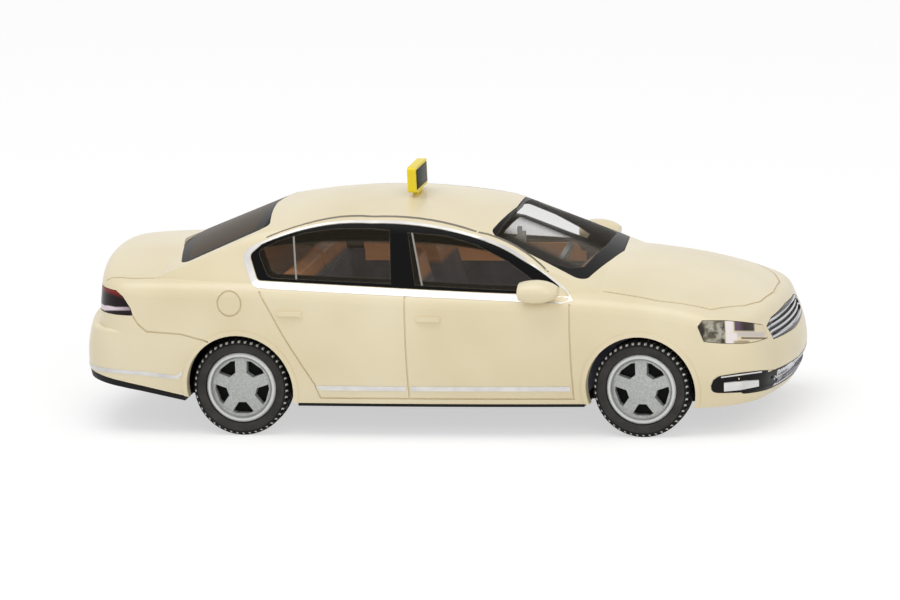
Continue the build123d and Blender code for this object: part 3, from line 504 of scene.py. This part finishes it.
def cabinPlastic():  # grey below, brown towards the seats' tops, painted there as ivory in shade with light through the shell
    made, tree = newMaterial("cabinPlastic")
    spot = placeOf(tree)
    z = axisOf(tree, spot, 2)
    cloud = noise(tree, spot, 2.5, 3.0)
    grain = noise(tree, spot, 0.3, 3.0)
    grey = cloud.within(0.3, 0.7).mix(cabin["grey"], cabin["shade"])
    brown = cloud.within(0.35, 0.65).mix(cabin["brown"], cabin["deepBrown"])
    # the brown above brownFrom is painted shade, with light through the ivory shell
    colour = z.within(*cabin["brownFrom"]).mix(grey, brown)
    shader = tree.add("ShaderNodeBsdfPrincipled", {}, {
        "Base Color": colour, "Roughness": 0.4 + 0.15 * grain, "Specular IOR Level": 0.3,
        "Emission Color": colour, "Emission Strength": cabin["glow"], "Normal": bump(tree, grain, 0.12, 0.03),
    })
    close(tree, shader)
    return made


finishes = {
    "body_shell": ivoryPlastic(),
    "glazing": windowPlastic(),
    "interior_tub": cabinPlastic(),
    "chassis_plate": plainPlastic("chassisPlastic", rgb(20, 19, 19), rgb(13, 13, 13), 0.45, shine=0.2),
    "front_axle": plainPlastic("axleSteel", rgb(170, 170, 170), rgb(140, 140, 142), 0.3, 0.2, 1.0),
    "radiator_grille": grilleFoil(),
    "lower_grille": intakePlastic(),
    "roof_sign": plainPlastic("signYellow", rgb(246, 224, 26), rgb(236, 210, 20), 0.3),
    "headlamp": headlampPlastic(),
    "tail_lamp": tailLampPlastic(),
    "wheel": wheelSilver(),
    "tyre": tyreRubber(),
    # the glow is painted light on the steering wheel and the inner mirror
    "steering_wheel": plainPlastic("controlGrey", rgb(206, 206, 202), rgb(178, 178, 176), 0.4, glow=0.1),
}
sameFinish = {"mirror_left": "body_shell", "mirror_right": "body_shell", "rear_view_mirror": "steering_wheel",
              "rear_axle": "front_axle"}
trims = {
    "chrome": chromeFoil(),
    "signBlack": plainPlastic("signBlack", rgb(20, 19, 18), rgb(14, 13, 13), 0.35, shine=0.16),
    "wheelBack": plainPlastic("wheelShadow", rgb(24, 24, 24), rgb(18, 18, 18), 0.6, shine=0.15),
    "seam": plainPlastic("seamShade", rgb(128, 120, 104), rgb(112, 105, 90), 0.5),
    # painted shade of the ivory inner walls, with a glow for light through the shell
    "shadedWall": plainPlastic("paintedWallShade", rgb(240, 176, 128), rgb(226, 156, 108), 0.5, shine=0.2, glow=0.14),
    "mirrorGlass": plainPlastic("mirrorFoil", rgb(214, 216, 218), rgb(196, 198, 202), 0.08, 0.4, 1.0, 0.03),
}


def finishOf(node):
    name = sameFinish.get(node, node)
    for start in ("headlamp", "tail_lamp", "wheel", "tyre"):
        if name.startswith(start + "_"):
            name = start
    return finishes[name]


for node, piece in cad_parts.items():
    piece.data.materials.clear()
    piece.data.materials.append(finishOf(node))
print("finishes made")


# Shaping

def searchTree(*nodes):  # the outer faces of some CAD nodes, to lay trim on
    bm = bmesh.new()
    for node in nodes:
        bm.from_mesh(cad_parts[node].data)
    tree = BVHTree.FromBMesh(bm)
    bm.free()
    return tree


def arcPoints(first, middle, last, count):  # points on an arc, without its last one
    (x1, y1), (x2, y2), (x3, y3) = first, middle, last
    scale = 2 * (x1 * (y2 - y3) + x2 * (y3 - y1) + x3 * (y1 - y2))
    squares = [x * x + y * y for x, y in (first, middle, last)]
    cx = (squares[0] * (y2 - y3) + squares[1] * (y3 - y1) + squares[2] * (y1 - y2)) / scale
    cy = (squares[0] * (x3 - x2) + squares[1] * (x1 - x3) + squares[2] * (x2 - x1)) / scale
    radius = math.hypot(x1 - cx, y1 - cy)
    begin = math.atan2(y1 - cy, x1 - cx)
    sweep = (math.atan2(y3 - cy, x3 - cx) - begin + math.pi) % (2 * math.pi) - math.pi
    turns = [begin + sweep * i / count for i in range(count)]
    return [(cx + radius * math.cos(turn), cy + radius * math.sin(turn)) for turn in turns]


def rounded(points, corners, radius, count=4):  # the outline with some of its corners rounded
    made = []
    for i, point in enumerate(points):
        if point not in corners:
            made.append(point)
            continue
        here, before, after = Vector(point), Vector(points[i - 1]), Vector(points[(i + 1) % len(points)])
        toBefore, toAfter = (before - here).normalized(), (after - here).normalized()
        most = 0.45 * min((before - here).length, (after - here).length)
        cut = min(radius / math.tan(toBefore.angle(toAfter) / 2), most)
        start, end = here + cut * toBefore, here + cut * toAfter
        for step in range(count + 1):
            share = step / count
            rest = 1 - share
            made.append(tuple(rest ** 2 * start + 2 * share * rest * here + share * share * end))
    return made


def dense(points, step, loop=True):  # the outline with its long runs divided
    made = []
    pairs = list(zip(points, points[1:] + points[:1] if loop else points[1:]))
    for (x1, y1), (x2, y2) in pairs:
        cuts = max(1, math.ceil(math.hypot(x2 - x1, y2 - y1) / step))
        made += [(x1 + (x2 - x1) * i / cuts, y1 + (y2 - y1) * i / cuts) for i in range(cuts)]
    return made if loop else made + [points[-1]]


def widened(points, reach, loop=True):  # an anticlockwise outline moved out by a distance, or by reach(point)
    made = []
    for i, point in enumerate(points):
        before = Vector(points[i - 1] if loop or i else point)
        after = Vector(points[(i + 1) % len(points)] if loop or i + 1 < len(points) else point)
        along = (after - before).normalized()
        out = Vector((along.y, -along.x))
        made.append(tuple(Vector(point) + out * (reach(point) if callable(reach) else reach)))
    return made


sideView = {"start": -40.0, "toward": Vector((0, 1, 0))}  # rays from the car's right


def fromSide(points):  # rays for a drawing in x and z
    return [(Vector((x, sideView["start"], z)) * mm, sideView["toward"]) for x, z in points]


def layRows(tree, rows, lift, sink=0.06, loop=False):  # rows of rays become a thin sheet on the surface
    bm = bmesh.new()
    lines = []
    for rays in rows:
        depths = []
        for start, toward in rays:
            hit = tree.ray_cast(start, toward)
            if hit[0] is None:
                raise ValueError("a trim point lies off the surface, seen from " + str(start / mm))
            depths.append(hit[3])
        count = len(depths)
        line = []
        for i, (start, toward) in enumerate(rays):  # the middle of three depths, so that no gap shows through
            places = (i - 1, i, (i + 1) % count) if loop else (max(i - 1, 0), i, min(i + 1, count - 1))
            depth = sorted(depths[place] for place in places)[1]
            line.append(bm.verts.new(start + toward * (depth - lift * mm)))
        lines.append(line)
    edges = []
    for line in lines:
        pairs = zip(line, line[1:] + line[:1]) if loop else zip(line, line[1:])
        edges.append([bm.edges.new(pair) for pair in pairs])
    for first, second in zip(edges, edges[1:]):
        bmesh.ops.bridge_loops(bm, edges=first + second)
    bmesh.ops.recalc_face_normals(bm, faces=bm.faces[:])
    toward = rows[0][0][1]
    if sum(face.normal.dot(toward) * face.calc_area() for face in bm.faces) > 0:
        bmesh.ops.reverse_faces(bm, faces=bm.faces[:])
    bmesh.ops.solidify(bm, geom=bm.faces[:], thickness=(lift + sink) * mm)
    bmesh.ops.recalc_face_normals(bm, faces=bm.faces[:])
    return bm


def bothSides(bm):  # add the same shape on the car's other side
    whole = bm.verts[:] + bm.edges[:] + bm.faces[:]
    bmesh.ops.mirror(bm, geom=whole, matrix=Matrix(), axis="Y", merge_dist=-1.0)
    bmesh.ops.recalc_face_normals(bm, faces=bm.faces[:])
    return bm


def finishPiece(bm, name, finish, body="body", sharp=40.0):
    for edge in bm.edges:
        edge.smooth = len(edge.link_faces) == 2 and edge.calc_face_angle(0.0) < math.radians(sharp)
    for face in bm.faces:
        face.smooth = True
    mesh = bpy.data.meshes.new(name)
    bm.to_mesh(mesh)
    bm.free()
    mesh.materials.append(finish)
    piece = bpy.data.objects.new(name, mesh)
    bpy.context.scene.collection.objects.link(piece)
    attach(piece, body)
    return piece


def softBoxShape(low, high, edge, segments=2):  # a box between two corners in millimetres, with rounded edges
    bm = bmesh.new()
    bmesh.ops.create_cube(bm, size=1.0)
    middle = [(a + b) / 2 * mm for a, b in zip(low, high)]
    bmesh.ops.scale(bm, vec=[(b - a) * mm for a, b in zip(low, high)], verts=bm.verts[:])
    bmesh.ops.translate(bm, vec=middle, verts=bm.verts[:])
    bmesh.ops.bevel(bm, geom=bm.edges[:], offset=edge * mm, segments=segments, profile=0.5, affect="EDGES",
                    material=-1)
    return bm


def joined(shapes):  # several shapes in one
    whole = bmesh.new()
    for shape in shapes:
        mesh = bpy.data.meshes.new("shape")
        shape.to_mesh(mesh)
        whole.from_mesh(mesh)
        bpy.data.meshes.remove(mesh)
        shape.free()
    return whole


# Chrome round the side windows and the seam above it

sideWindow = {  # x and z as drawn from the side, anticlockwise from the front corner
    "tip": (11.8, 10.88),
    "arcs": [((8.55, 13.15), (5.0, 14.76)), ((0.5, 15.7), (-4.0, 15.94)), ((-8.6, 15.62), (-12.3, 14.5))],
    "rear": [(-13.2, 13.75), (-12.45, 11.98)],
    "arcSteps": 10, "corner": 0.4, "step": 0.45, "gap": 0.03, "proud": 0.05,
    # widths over the roof, along the belt and at the rear
    "top": 0.13, "belt": 0.42, "hook": 0.5,
    "beltSlope": 1.1 / 24.25, "beltReach": 0.12, "hookFrom": -11.8, "hookTop": 14.6,
    "seamStart": 6, "seamTo": -12.1, "seamAt": 0.3, "seamWide": 0.07, "seamProud": 0.035,
}


def windowOutline():
    points, last = [], sideWindow["tip"]
    for middle, end in sideWindow["arcs"]:
        points += arcPoints(last, middle, end, sideWindow["arcSteps"])
        last = end
    points += [last, *sideWindow["rear"]]
    corners = [sideWindow["tip"], last, *sideWindow["rear"]]
    return dense(rounded(points, corners, sideWindow["corner"]), sideWindow["step"])


def trimWidth(point):  # thin over the roof, broad along the belt and widest at the rear
    x, z = point
    rearX, rearZ = sideWindow["rear"][1]
    if z < rearZ - (x - rearX) * sideWindow["beltSlope"] + sideWindow["beltReach"]:
        return sideWindow["belt"]
    if x < sideWindow["hookFrom"]:
        share = min(1.0, max(0.0, sideWindow["hookTop"] - z))
        return sideWindow["top"] + (sideWindow["hook"] - sideWindow["top"]) * share
    return sideWindow["top"]


def makeWindowTrim(tree):
    opening = windowOutline()
    gap = sideWindow["gap"]
    rows = [widened(opening, gap), widened(opening, lambda point: gap + trimWidth(point))]
    bm = bothSides(layRows(tree, [fromSide(row) for row in rows], sideWindow["proud"], loop=True))
    finishPiece(bm, "windowTrim", trims["chrome"])
    # the seam is a thin ribbon of painted shade along the drip groove above the trim
    seamEnd = next(i for i, point in enumerate(opening) if point[0] < sideWindow["seamTo"])
    upper = opening[sideWindow["seamStart"]:seamEnd]
    reaches = (sideWindow["seamAt"], sideWindow["seamAt"] + sideWindow["seamWide"])
    rows = [fromSide(widened(upper, reach, False)) for reach in reaches]
    bm = bothSides(layRows(tree, rows, sideWindow["seamProud"]))
    finishPiece(bm, "cantRailSeam", trims["seam"])


# Chrome strips along the sills and the tail

strips = {
    "sills": [((-8.0, 3.86), (-0.98, 3.86)), ((-0.62, 3.86), (11.75, 3.86))],
    "tall": 0.36, "proud": 0.08, "step": 0.8,
    # the tail strip's height at some places along the car, and the fan of rays that finds the bumper
    "tailLine": [(-18.6, 4.5), (-22.0, 4.85), (-24.5, 4.95), (-28.0, 4.95)],
    "tailTall": 0.3, "tailProud": 0.05,
    "fanX": -17.5, "fanReach": 30.0, "fanFrom": 96.0, "fanTurn": 168.0, "fanSteps": 60, "tries": 4,
}


def makeSillStrips(tree):
    shapes = []
    for ends in strips["sills"]:
        line = dense(list(ends), strips["step"], False)
        rows = [fromSide([(x, z + side * strips["tall"]) for x, z in line]) for side in (-0.5, 0.5)]
        shapes.append(layRows(tree, rows, strips["proud"]))
    bm = bothSides(joined(shapes))
    finishPiece(bm, "sillStrips", trims["chrome"])


def tailHeight(x):
    for (x1, z1), (x2, z2) in zip(strips["tailLine"], strips["tailLine"][1:]):
        if x2 <= x <= x1:
            return z1 + (z2 - z1) * (x1 - x) / (x1 - x2)
    return strips["tailLine"][-1][1]


def makeTailStrip(tree):  # from wheel arch to wheel arch round the tail
    rows = ([], [])
    for i in range(strips["fanSteps"] + 1):
        angle = math.radians(strips["fanFrom"] + strips["fanTurn"] * i / strips["fanSteps"])
        out = Vector((math.cos(angle), math.sin(angle), 0.0))
        far = Vector((strips["fanX"], 0.0, 0.0)) + strips["fanReach"] * out
        x = strips["fanX"]
        for _ in range(strips["tries"]):  # find how far back this ray meets the bumper
            hit = tree.ray_cast((far + Vector((0, 0, tailHeight(x)))) * mm, -out)
            x = hit[0].x / mm
        for row, side in zip(rows, (-0.5, 0.5)):
            row.append(((far + Vector((0, 0, tailHeight(x) + side * strips["tailTall"]))) * mm, -out))
    bm = layRows(tree, rows, strips["tailProud"])
    finishPiece(bm, "tailStrip", trims["chrome"])


# Treaded tyres

tread = {
    # radius and distance from the middle of the car
    "profile": [(2.46, 7.25), (2.9, 7.1), (3.3, 7.12), (3.58, 7.22), (3.7, 7.42), (3.72, 7.8), (3.72, 8.2),
                (3.72, 8.6), (3.72, 9.1), (3.7, 9.36), (3.54, 9.54), (3.34, 9.59), (3.1, 9.6), (2.84, 9.57),
                (2.73, 9.46), (2.71, 9.06), (2.46, 9.04)],
    "from": 3.53, "groove": 0.13, "edge": 0.02,
    "rowWide": 0.4, "rows": (7.6, 9.0),  # blocks in the rows between these are staggered
}


def makeTyre(node, axleX, body, left):
    bm = bmesh.new()
    up = tyre["radius"]
    centre = Vector((axleX, 0.0, up)) * mm
    ring = [bm.verts.new(((axleX + radius) * mm, y * mm, up * mm)) for radius, y in tread["profile"]]
    edges = [bm.edges.new(pair) for pair in zip(ring, ring[1:] + ring[:1])]
    bmesh.ops.spin(bm, geom=ring + edges, cent=centre, axis=(0, 1, 0), dvec=(0, 0, 0), angle=2 * math.pi,
                   steps=2 * tyre["pitches"], use_merge=True, use_duplicate=False)
    bmesh.ops.remove_doubles(bm, verts=bm.verts[:], dist=1e-6)
    bmesh.ops.recalc_face_normals(bm, faces=bm.faces[:])
    grooves = []
    for face in bm.faces:
        spot = face.calc_center_median() - centre
        if math.hypot(spot.x, spot.z) > tread["from"] * mm:
            sector = int(math.degrees(math.atan2(spot.z, spot.x)) % 360.0 / 180.0 * tyre["pitches"])
            out = spot.y / mm
            row = int(out / tread["rowWide"]) if tread["rows"][0] < out < tread["rows"][1] else 0
            if (sector + row) % 2 == 0:
                grooves.append(face)
    bmesh.ops.inset_individual(bm, faces=grooves, thickness=tread["edge"] * mm, depth=-tread["groove"] * mm,
                               use_even_offset=True)
    if not left:
        bmesh.ops.scale(bm, vec=(1, -1, 1), verts=bm.verts[:])
        bmesh.ops.recalc_face_normals(bm, faces=bm.faces[:])
    piece = finishPiece(bm, "treaded" + node.title().replace("_", ""), finishes["tyre"], body)
    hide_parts(node)


def raised(bm, way):  # pull the face out along way, in millimetres, and give back its new corners
    made = bmesh.ops.extrude_face_region(bm, geom=bm.faces[:])
    corners = [item for item in made["geom"] if isinstance(item, bmesh.types.BMVert)]
    bmesh.ops.translate(bm, vec=Vector(way) * mm, verts=corners)
    return corners


wheelBack = {"radius": 2.12, "from": 8.42, "thick": 0.1}


def makeWheelBacks(end, axleX):  # dark discs of painted shade behind the spokes
    bm = bmesh.new()
    bmesh.ops.create_circle(bm, cap_ends=True, segments=48, radius=wheelBack["radius"] * mm)
    turn = Matrix.Rotation(math.radians(90.0), 3, "X")
    bmesh.ops.rotate(bm, cent=(0, 0, 0), matrix=turn, verts=bm.verts[:])
    bmesh.ops.translate(bm, vec=(axleX * mm, -wheelBack["from"] * mm, tyre["radius"] * mm), verts=bm.verts[:])
    raised(bm, (0, wheelBack["thick"], 0))
    finishPiece(bothSides(bm), end + "WheelBacks", trims["wheelBack"], end + "_wheels")


# Small pieces: mirror faces, sign panels, and sheets of painted shade on the doors' inner walls

mirrorFace = {"place": Vector((8.33, 10.6, 11.55)), "half": (0.86, 0.5), "thick": 0.08, "taper": 0.9}


def makeMirrorFaces():
    wide, tall = mirrorFace["half"]
    bm = bmesh.new()
    bmesh.ops.create_circle(bm, cap_ends=True, segments=32, radius=1.0)
    bmesh.ops.scale(bm, vec=(tall * mm, wide * mm, 1.0), verts=bm.verts[:])
    turn = Matrix.Rotation(math.radians(-90.0), 3, "Y")
    bmesh.ops.rotate(bm, cent=(0, 0, 0), matrix=turn, verts=bm.verts[:])
    bmesh.ops.translate(bm, vec=mirrorFace["place"] * mm, verts=bm.verts[:])
    corners = raised(bm, (-mirrorFace["thick"], 0, 0))
    bmesh.ops.scale(bm, vec=(1.0, mirrorFace["taper"], mirrorFace["taper"]), verts=corners,
                    space=Matrix.Translation(-mirrorFace["place"] * mm))
    finishPiece(bothSides(bm), "mirrorFaces", trims["mirrorGlass"])


signPanel = {"x": -1.82, "reach": 0.33, "half": 1.62, "low": 17.42, "high": 18.92,
             "thick": 0.05, "sunk": 0.03, "edge": 0.025}


def makeSignPanels():
    shapes = []
    for way in (-1, 1):
        face = signPanel["x"] + way * signPanel["reach"]
        back, front = sorted((face - way * signPanel["sunk"], face + way * signPanel["thick"]))
        shapes.append(softBoxShape((back, -signPanel["half"], signPanel["low"]),
                                   (front, signPanel["half"], signPanel["high"]), signPanel["edge"]))
    finishPiece(joined(shapes), "signPanels", trims["signBlack"])


# brown sheets on the doors' inner walls: their colour and glow are painted shade and light through the ivory
# shell
shadedWall = {"from": -8.2, "to": 9.2, "thick": 0.08,
          # distance from the middle of the car, and height
          "path": [(8.0, 9.75), (8.0, 10.5), (7.86, 10.75), (7.6, 11.3)]}


def makePaintedWallShades():
    bm = bmesh.new()
    path = [bm.verts.new((shadedWall["from"] * mm, -y * mm, z * mm)) for y, z in shadedWall["path"]]
    edges = [bm.edges.new(pair) for pair in zip(path, path[1:])]
    made = bmesh.ops.extrude_edge_only(bm, edges=edges)
    moved = [item for item in made["geom"] if isinstance(item, bmesh.types.BMVert)]
    bmesh.ops.translate(bm, vec=((shadedWall["to"] - shadedWall["from"]) * mm, 0, 0), verts=moved)
    bmesh.ops.recalc_face_normals(bm, faces=bm.faces[:])
    bmesh.ops.solidify(bm, geom=bm.faces[:], thickness=shadedWall["thick"] * mm)
    finishPiece(bothSides(bm), "doorLinings", trims["shadedWall"])


# Fog lamp surrounds on the bumper's corners, drawn where the photograph shows them

fog = {  # pixels of the photograph: upper and lower edges, from the outer end forwards
    "upper": [(711.0, 386.0), (713.0, 380.5), (718.5, 376.4), (740.0, 372.9), (760.0, 370.5), (777.0, 369.6)],
    "lower": [(711.5, 390.0), (714.0, 392.6), (720.0, 393.2), (740.0, 392.6), (760.0, 389.4), (777.0, 384.2)],
    "barUpper": [(724.0, 383.2), (740.0, 381.6), (759.0, 380.2)],
    "barLower": [(724.0, 391.6), (740.0, 390.2), (759.0, 386.4)],
    "lineUpper": [(721.0, 376.9), (740.0, 374.2), (762.0, 371.2)],
    "lineLower": [(721.0, 378.1), (740.0, 375.5), (762.0, 372.5)],
    "proud": 0.04, "barProud": 0.16, "lineProud": 0.05,
}


def evenly(points, count):  # points at even steps along a polyline
    lengths = [math.hypot(b[0] - a[0], b[1] - a[1]) for a, b in zip(points, points[1:])]
    made = []
    for step in range(count + 1):
        reach = sum(lengths) * step / count
        for (a, b), length in zip(zip(points, points[1:]), lengths):
            if reach <= length + 1e-9:
                share = reach / length
                made.append((a[0] + (b[0] - a[0]) * share, a[1] + (b[1] - a[1]) * share))
                break
            reach -= length
    return made


def layPixels(tree, upper, lower, lift, columns=24, layers=3):
    place = cameraPlace() * mm
    top, bottom = evenly(upper, columns), evenly(lower, columns)
    rows = []
    for layer in range(layers + 1):
        share = layer / layers
        pixels = [(a[0] + (b[0] - a[0]) * share, a[1] + (b[1] - a[1]) * share) for a, b in zip(top, bottom)]
        rows.append([(place, towardPixel(u, v).normalized()) for u, v in pixels])
    return layRows(tree, rows, lift)


def makeFogSurrounds(tree):
    surround = layPixels(tree, fog["upper"], fog["lower"], fog["proud"])
    surroundTree = BVHTree.FromBMesh(surround)
    finishPiece(bothSides(surround), "fogSurrounds", trims["signBlack"])
    bars = [layPixels(surroundTree, fog["barUpper"], fog["barLower"], fog["barProud"]),
            layPixels(surroundTree, fog["lineUpper"], fog["lineLower"], fog["lineProud"], layers=1)]
    finishPiece(bothSides(joined(bars)), "fogBars", trims["chrome"])


shell = searchTree("body_shell")
makeWindowTrim(searchTree("body_shell", "glazing"))
makeSillStrips(shell)
makeTailStrip(shell)
makeFogSurrounds(searchTree("body_shell", "lower_grille"))
print("trim laid")
for end, axleX in (("front", tyre["axles"][0]), ("rear", tyre["axles"][1])):
    for hand in ("left", "right"):
        makeTyre("tyre_" + end + "_" + hand, axleX, end + "_wheels", hand == "left")
    makeWheelBacks(end, axleX)
print("tyres made")
makeMirrorFaces()
makeSignPanels()
makePaintedWallShades()
print("small pieces made")


# Light and floor

lights = {
    "topBox": {"place": (-60.0, -80.0, 420.0), "aim": (0.0, 0.0, 5.0), "size": (420.0, 300.0),
               "power": 0.85},
    "frontBox": {"place": (260.0, -420.0, 220.0), "aim": (5.0, 0.0, 8.0), "size": (260.0, 260.0),
                 "power": 0.55},
}
paper = {"half": 3000.0, "colour": (0.96, 0.96, 0.96, 1.0), "glow": 0.5, "white": 1.16}
studio = {"ambient": 0.5, "white": 1.0}


def softBox(name, place, aim, size, power):
    light = bpy.data.lights.new(name, "AREA")
    light.shape = "RECTANGLE"
    light.size = size[0] * mm
    light.size_y = size[1] * mm
    light.energy = power
    lamp = bpy.data.objects.new(name, light)
    lamp.location = Vector(place) * mm
    lamp.rotation_mode = "QUATERNION"
    lamp.rotation_quaternion = (Vector(aim) - Vector(place)).to_track_quat("-Z", "Y")
    bpy.context.scene.collection.objects.link(lamp)


def seenRays(tree):  # 1 for what the camera sees, also in metal and through glass
    path = tree.tree.nodes.new("ShaderNodeLightPath")
    direct, glossy, through = (Wire(tree.tree, path.outputs["Is " + name + " Ray"])
                               for name in ("Camera", "Glossy", "Transmission"))
    return tree.maths("MAXIMUM", tree.maths("MAXIMUM", direct, glossy), through)


def makeFloor():
    bm = bmesh.new()
    bmesh.ops.create_grid(bm, x_segments=1, y_segments=1, size=paper["half"] * mm)
    mesh = bpy.data.meshes.new("paperFloor")
    bm.to_mesh(mesh)
    bm.free()
    floor = bpy.data.objects.new("paperFloor", mesh)
    bpy.context.scene.collection.objects.link(floor)
    made, tree = newMaterial("paperFloor")
    matt = tree.add("ShaderNodeBsdfDiffuse", {}, {"Color": paper["colour"]})
    white = tree.add("ShaderNodeEmission", {}, {"Color": (1.0, 1.0, 1.0, 1.0), "Strength": paper["white"]})
    close(tree, tree.add("ShaderNodeMixShader", {}, {0: seenRays(tree) * paper["glow"], 1: matt, 2: white}))
    mesh.materials.append(made)


def makeWorld():
    world = bpy.data.worlds.new("studio")
    bpy.context.scene.world = world
    world.use_nodes = True
    world.node_tree.nodes.clear()
    tree = Wire(world.node_tree)
    strength = studio["ambient"] + (studio["white"] - studio["ambient"]) * seenRays(tree)
    glow = tree.add("ShaderNodeBackground", {}, {"Color": (1.0, 1.0, 1.0, 1.0), "Strength": strength})
    close(tree, glow, "ShaderNodeOutputWorld")


makeCamera()
makeFloor()
makeWorld()
for name, look in lights.items():
    softBox(name, **look)
bpy.context.scene.view_settings.view_transform = "Standard"
print("studio made")
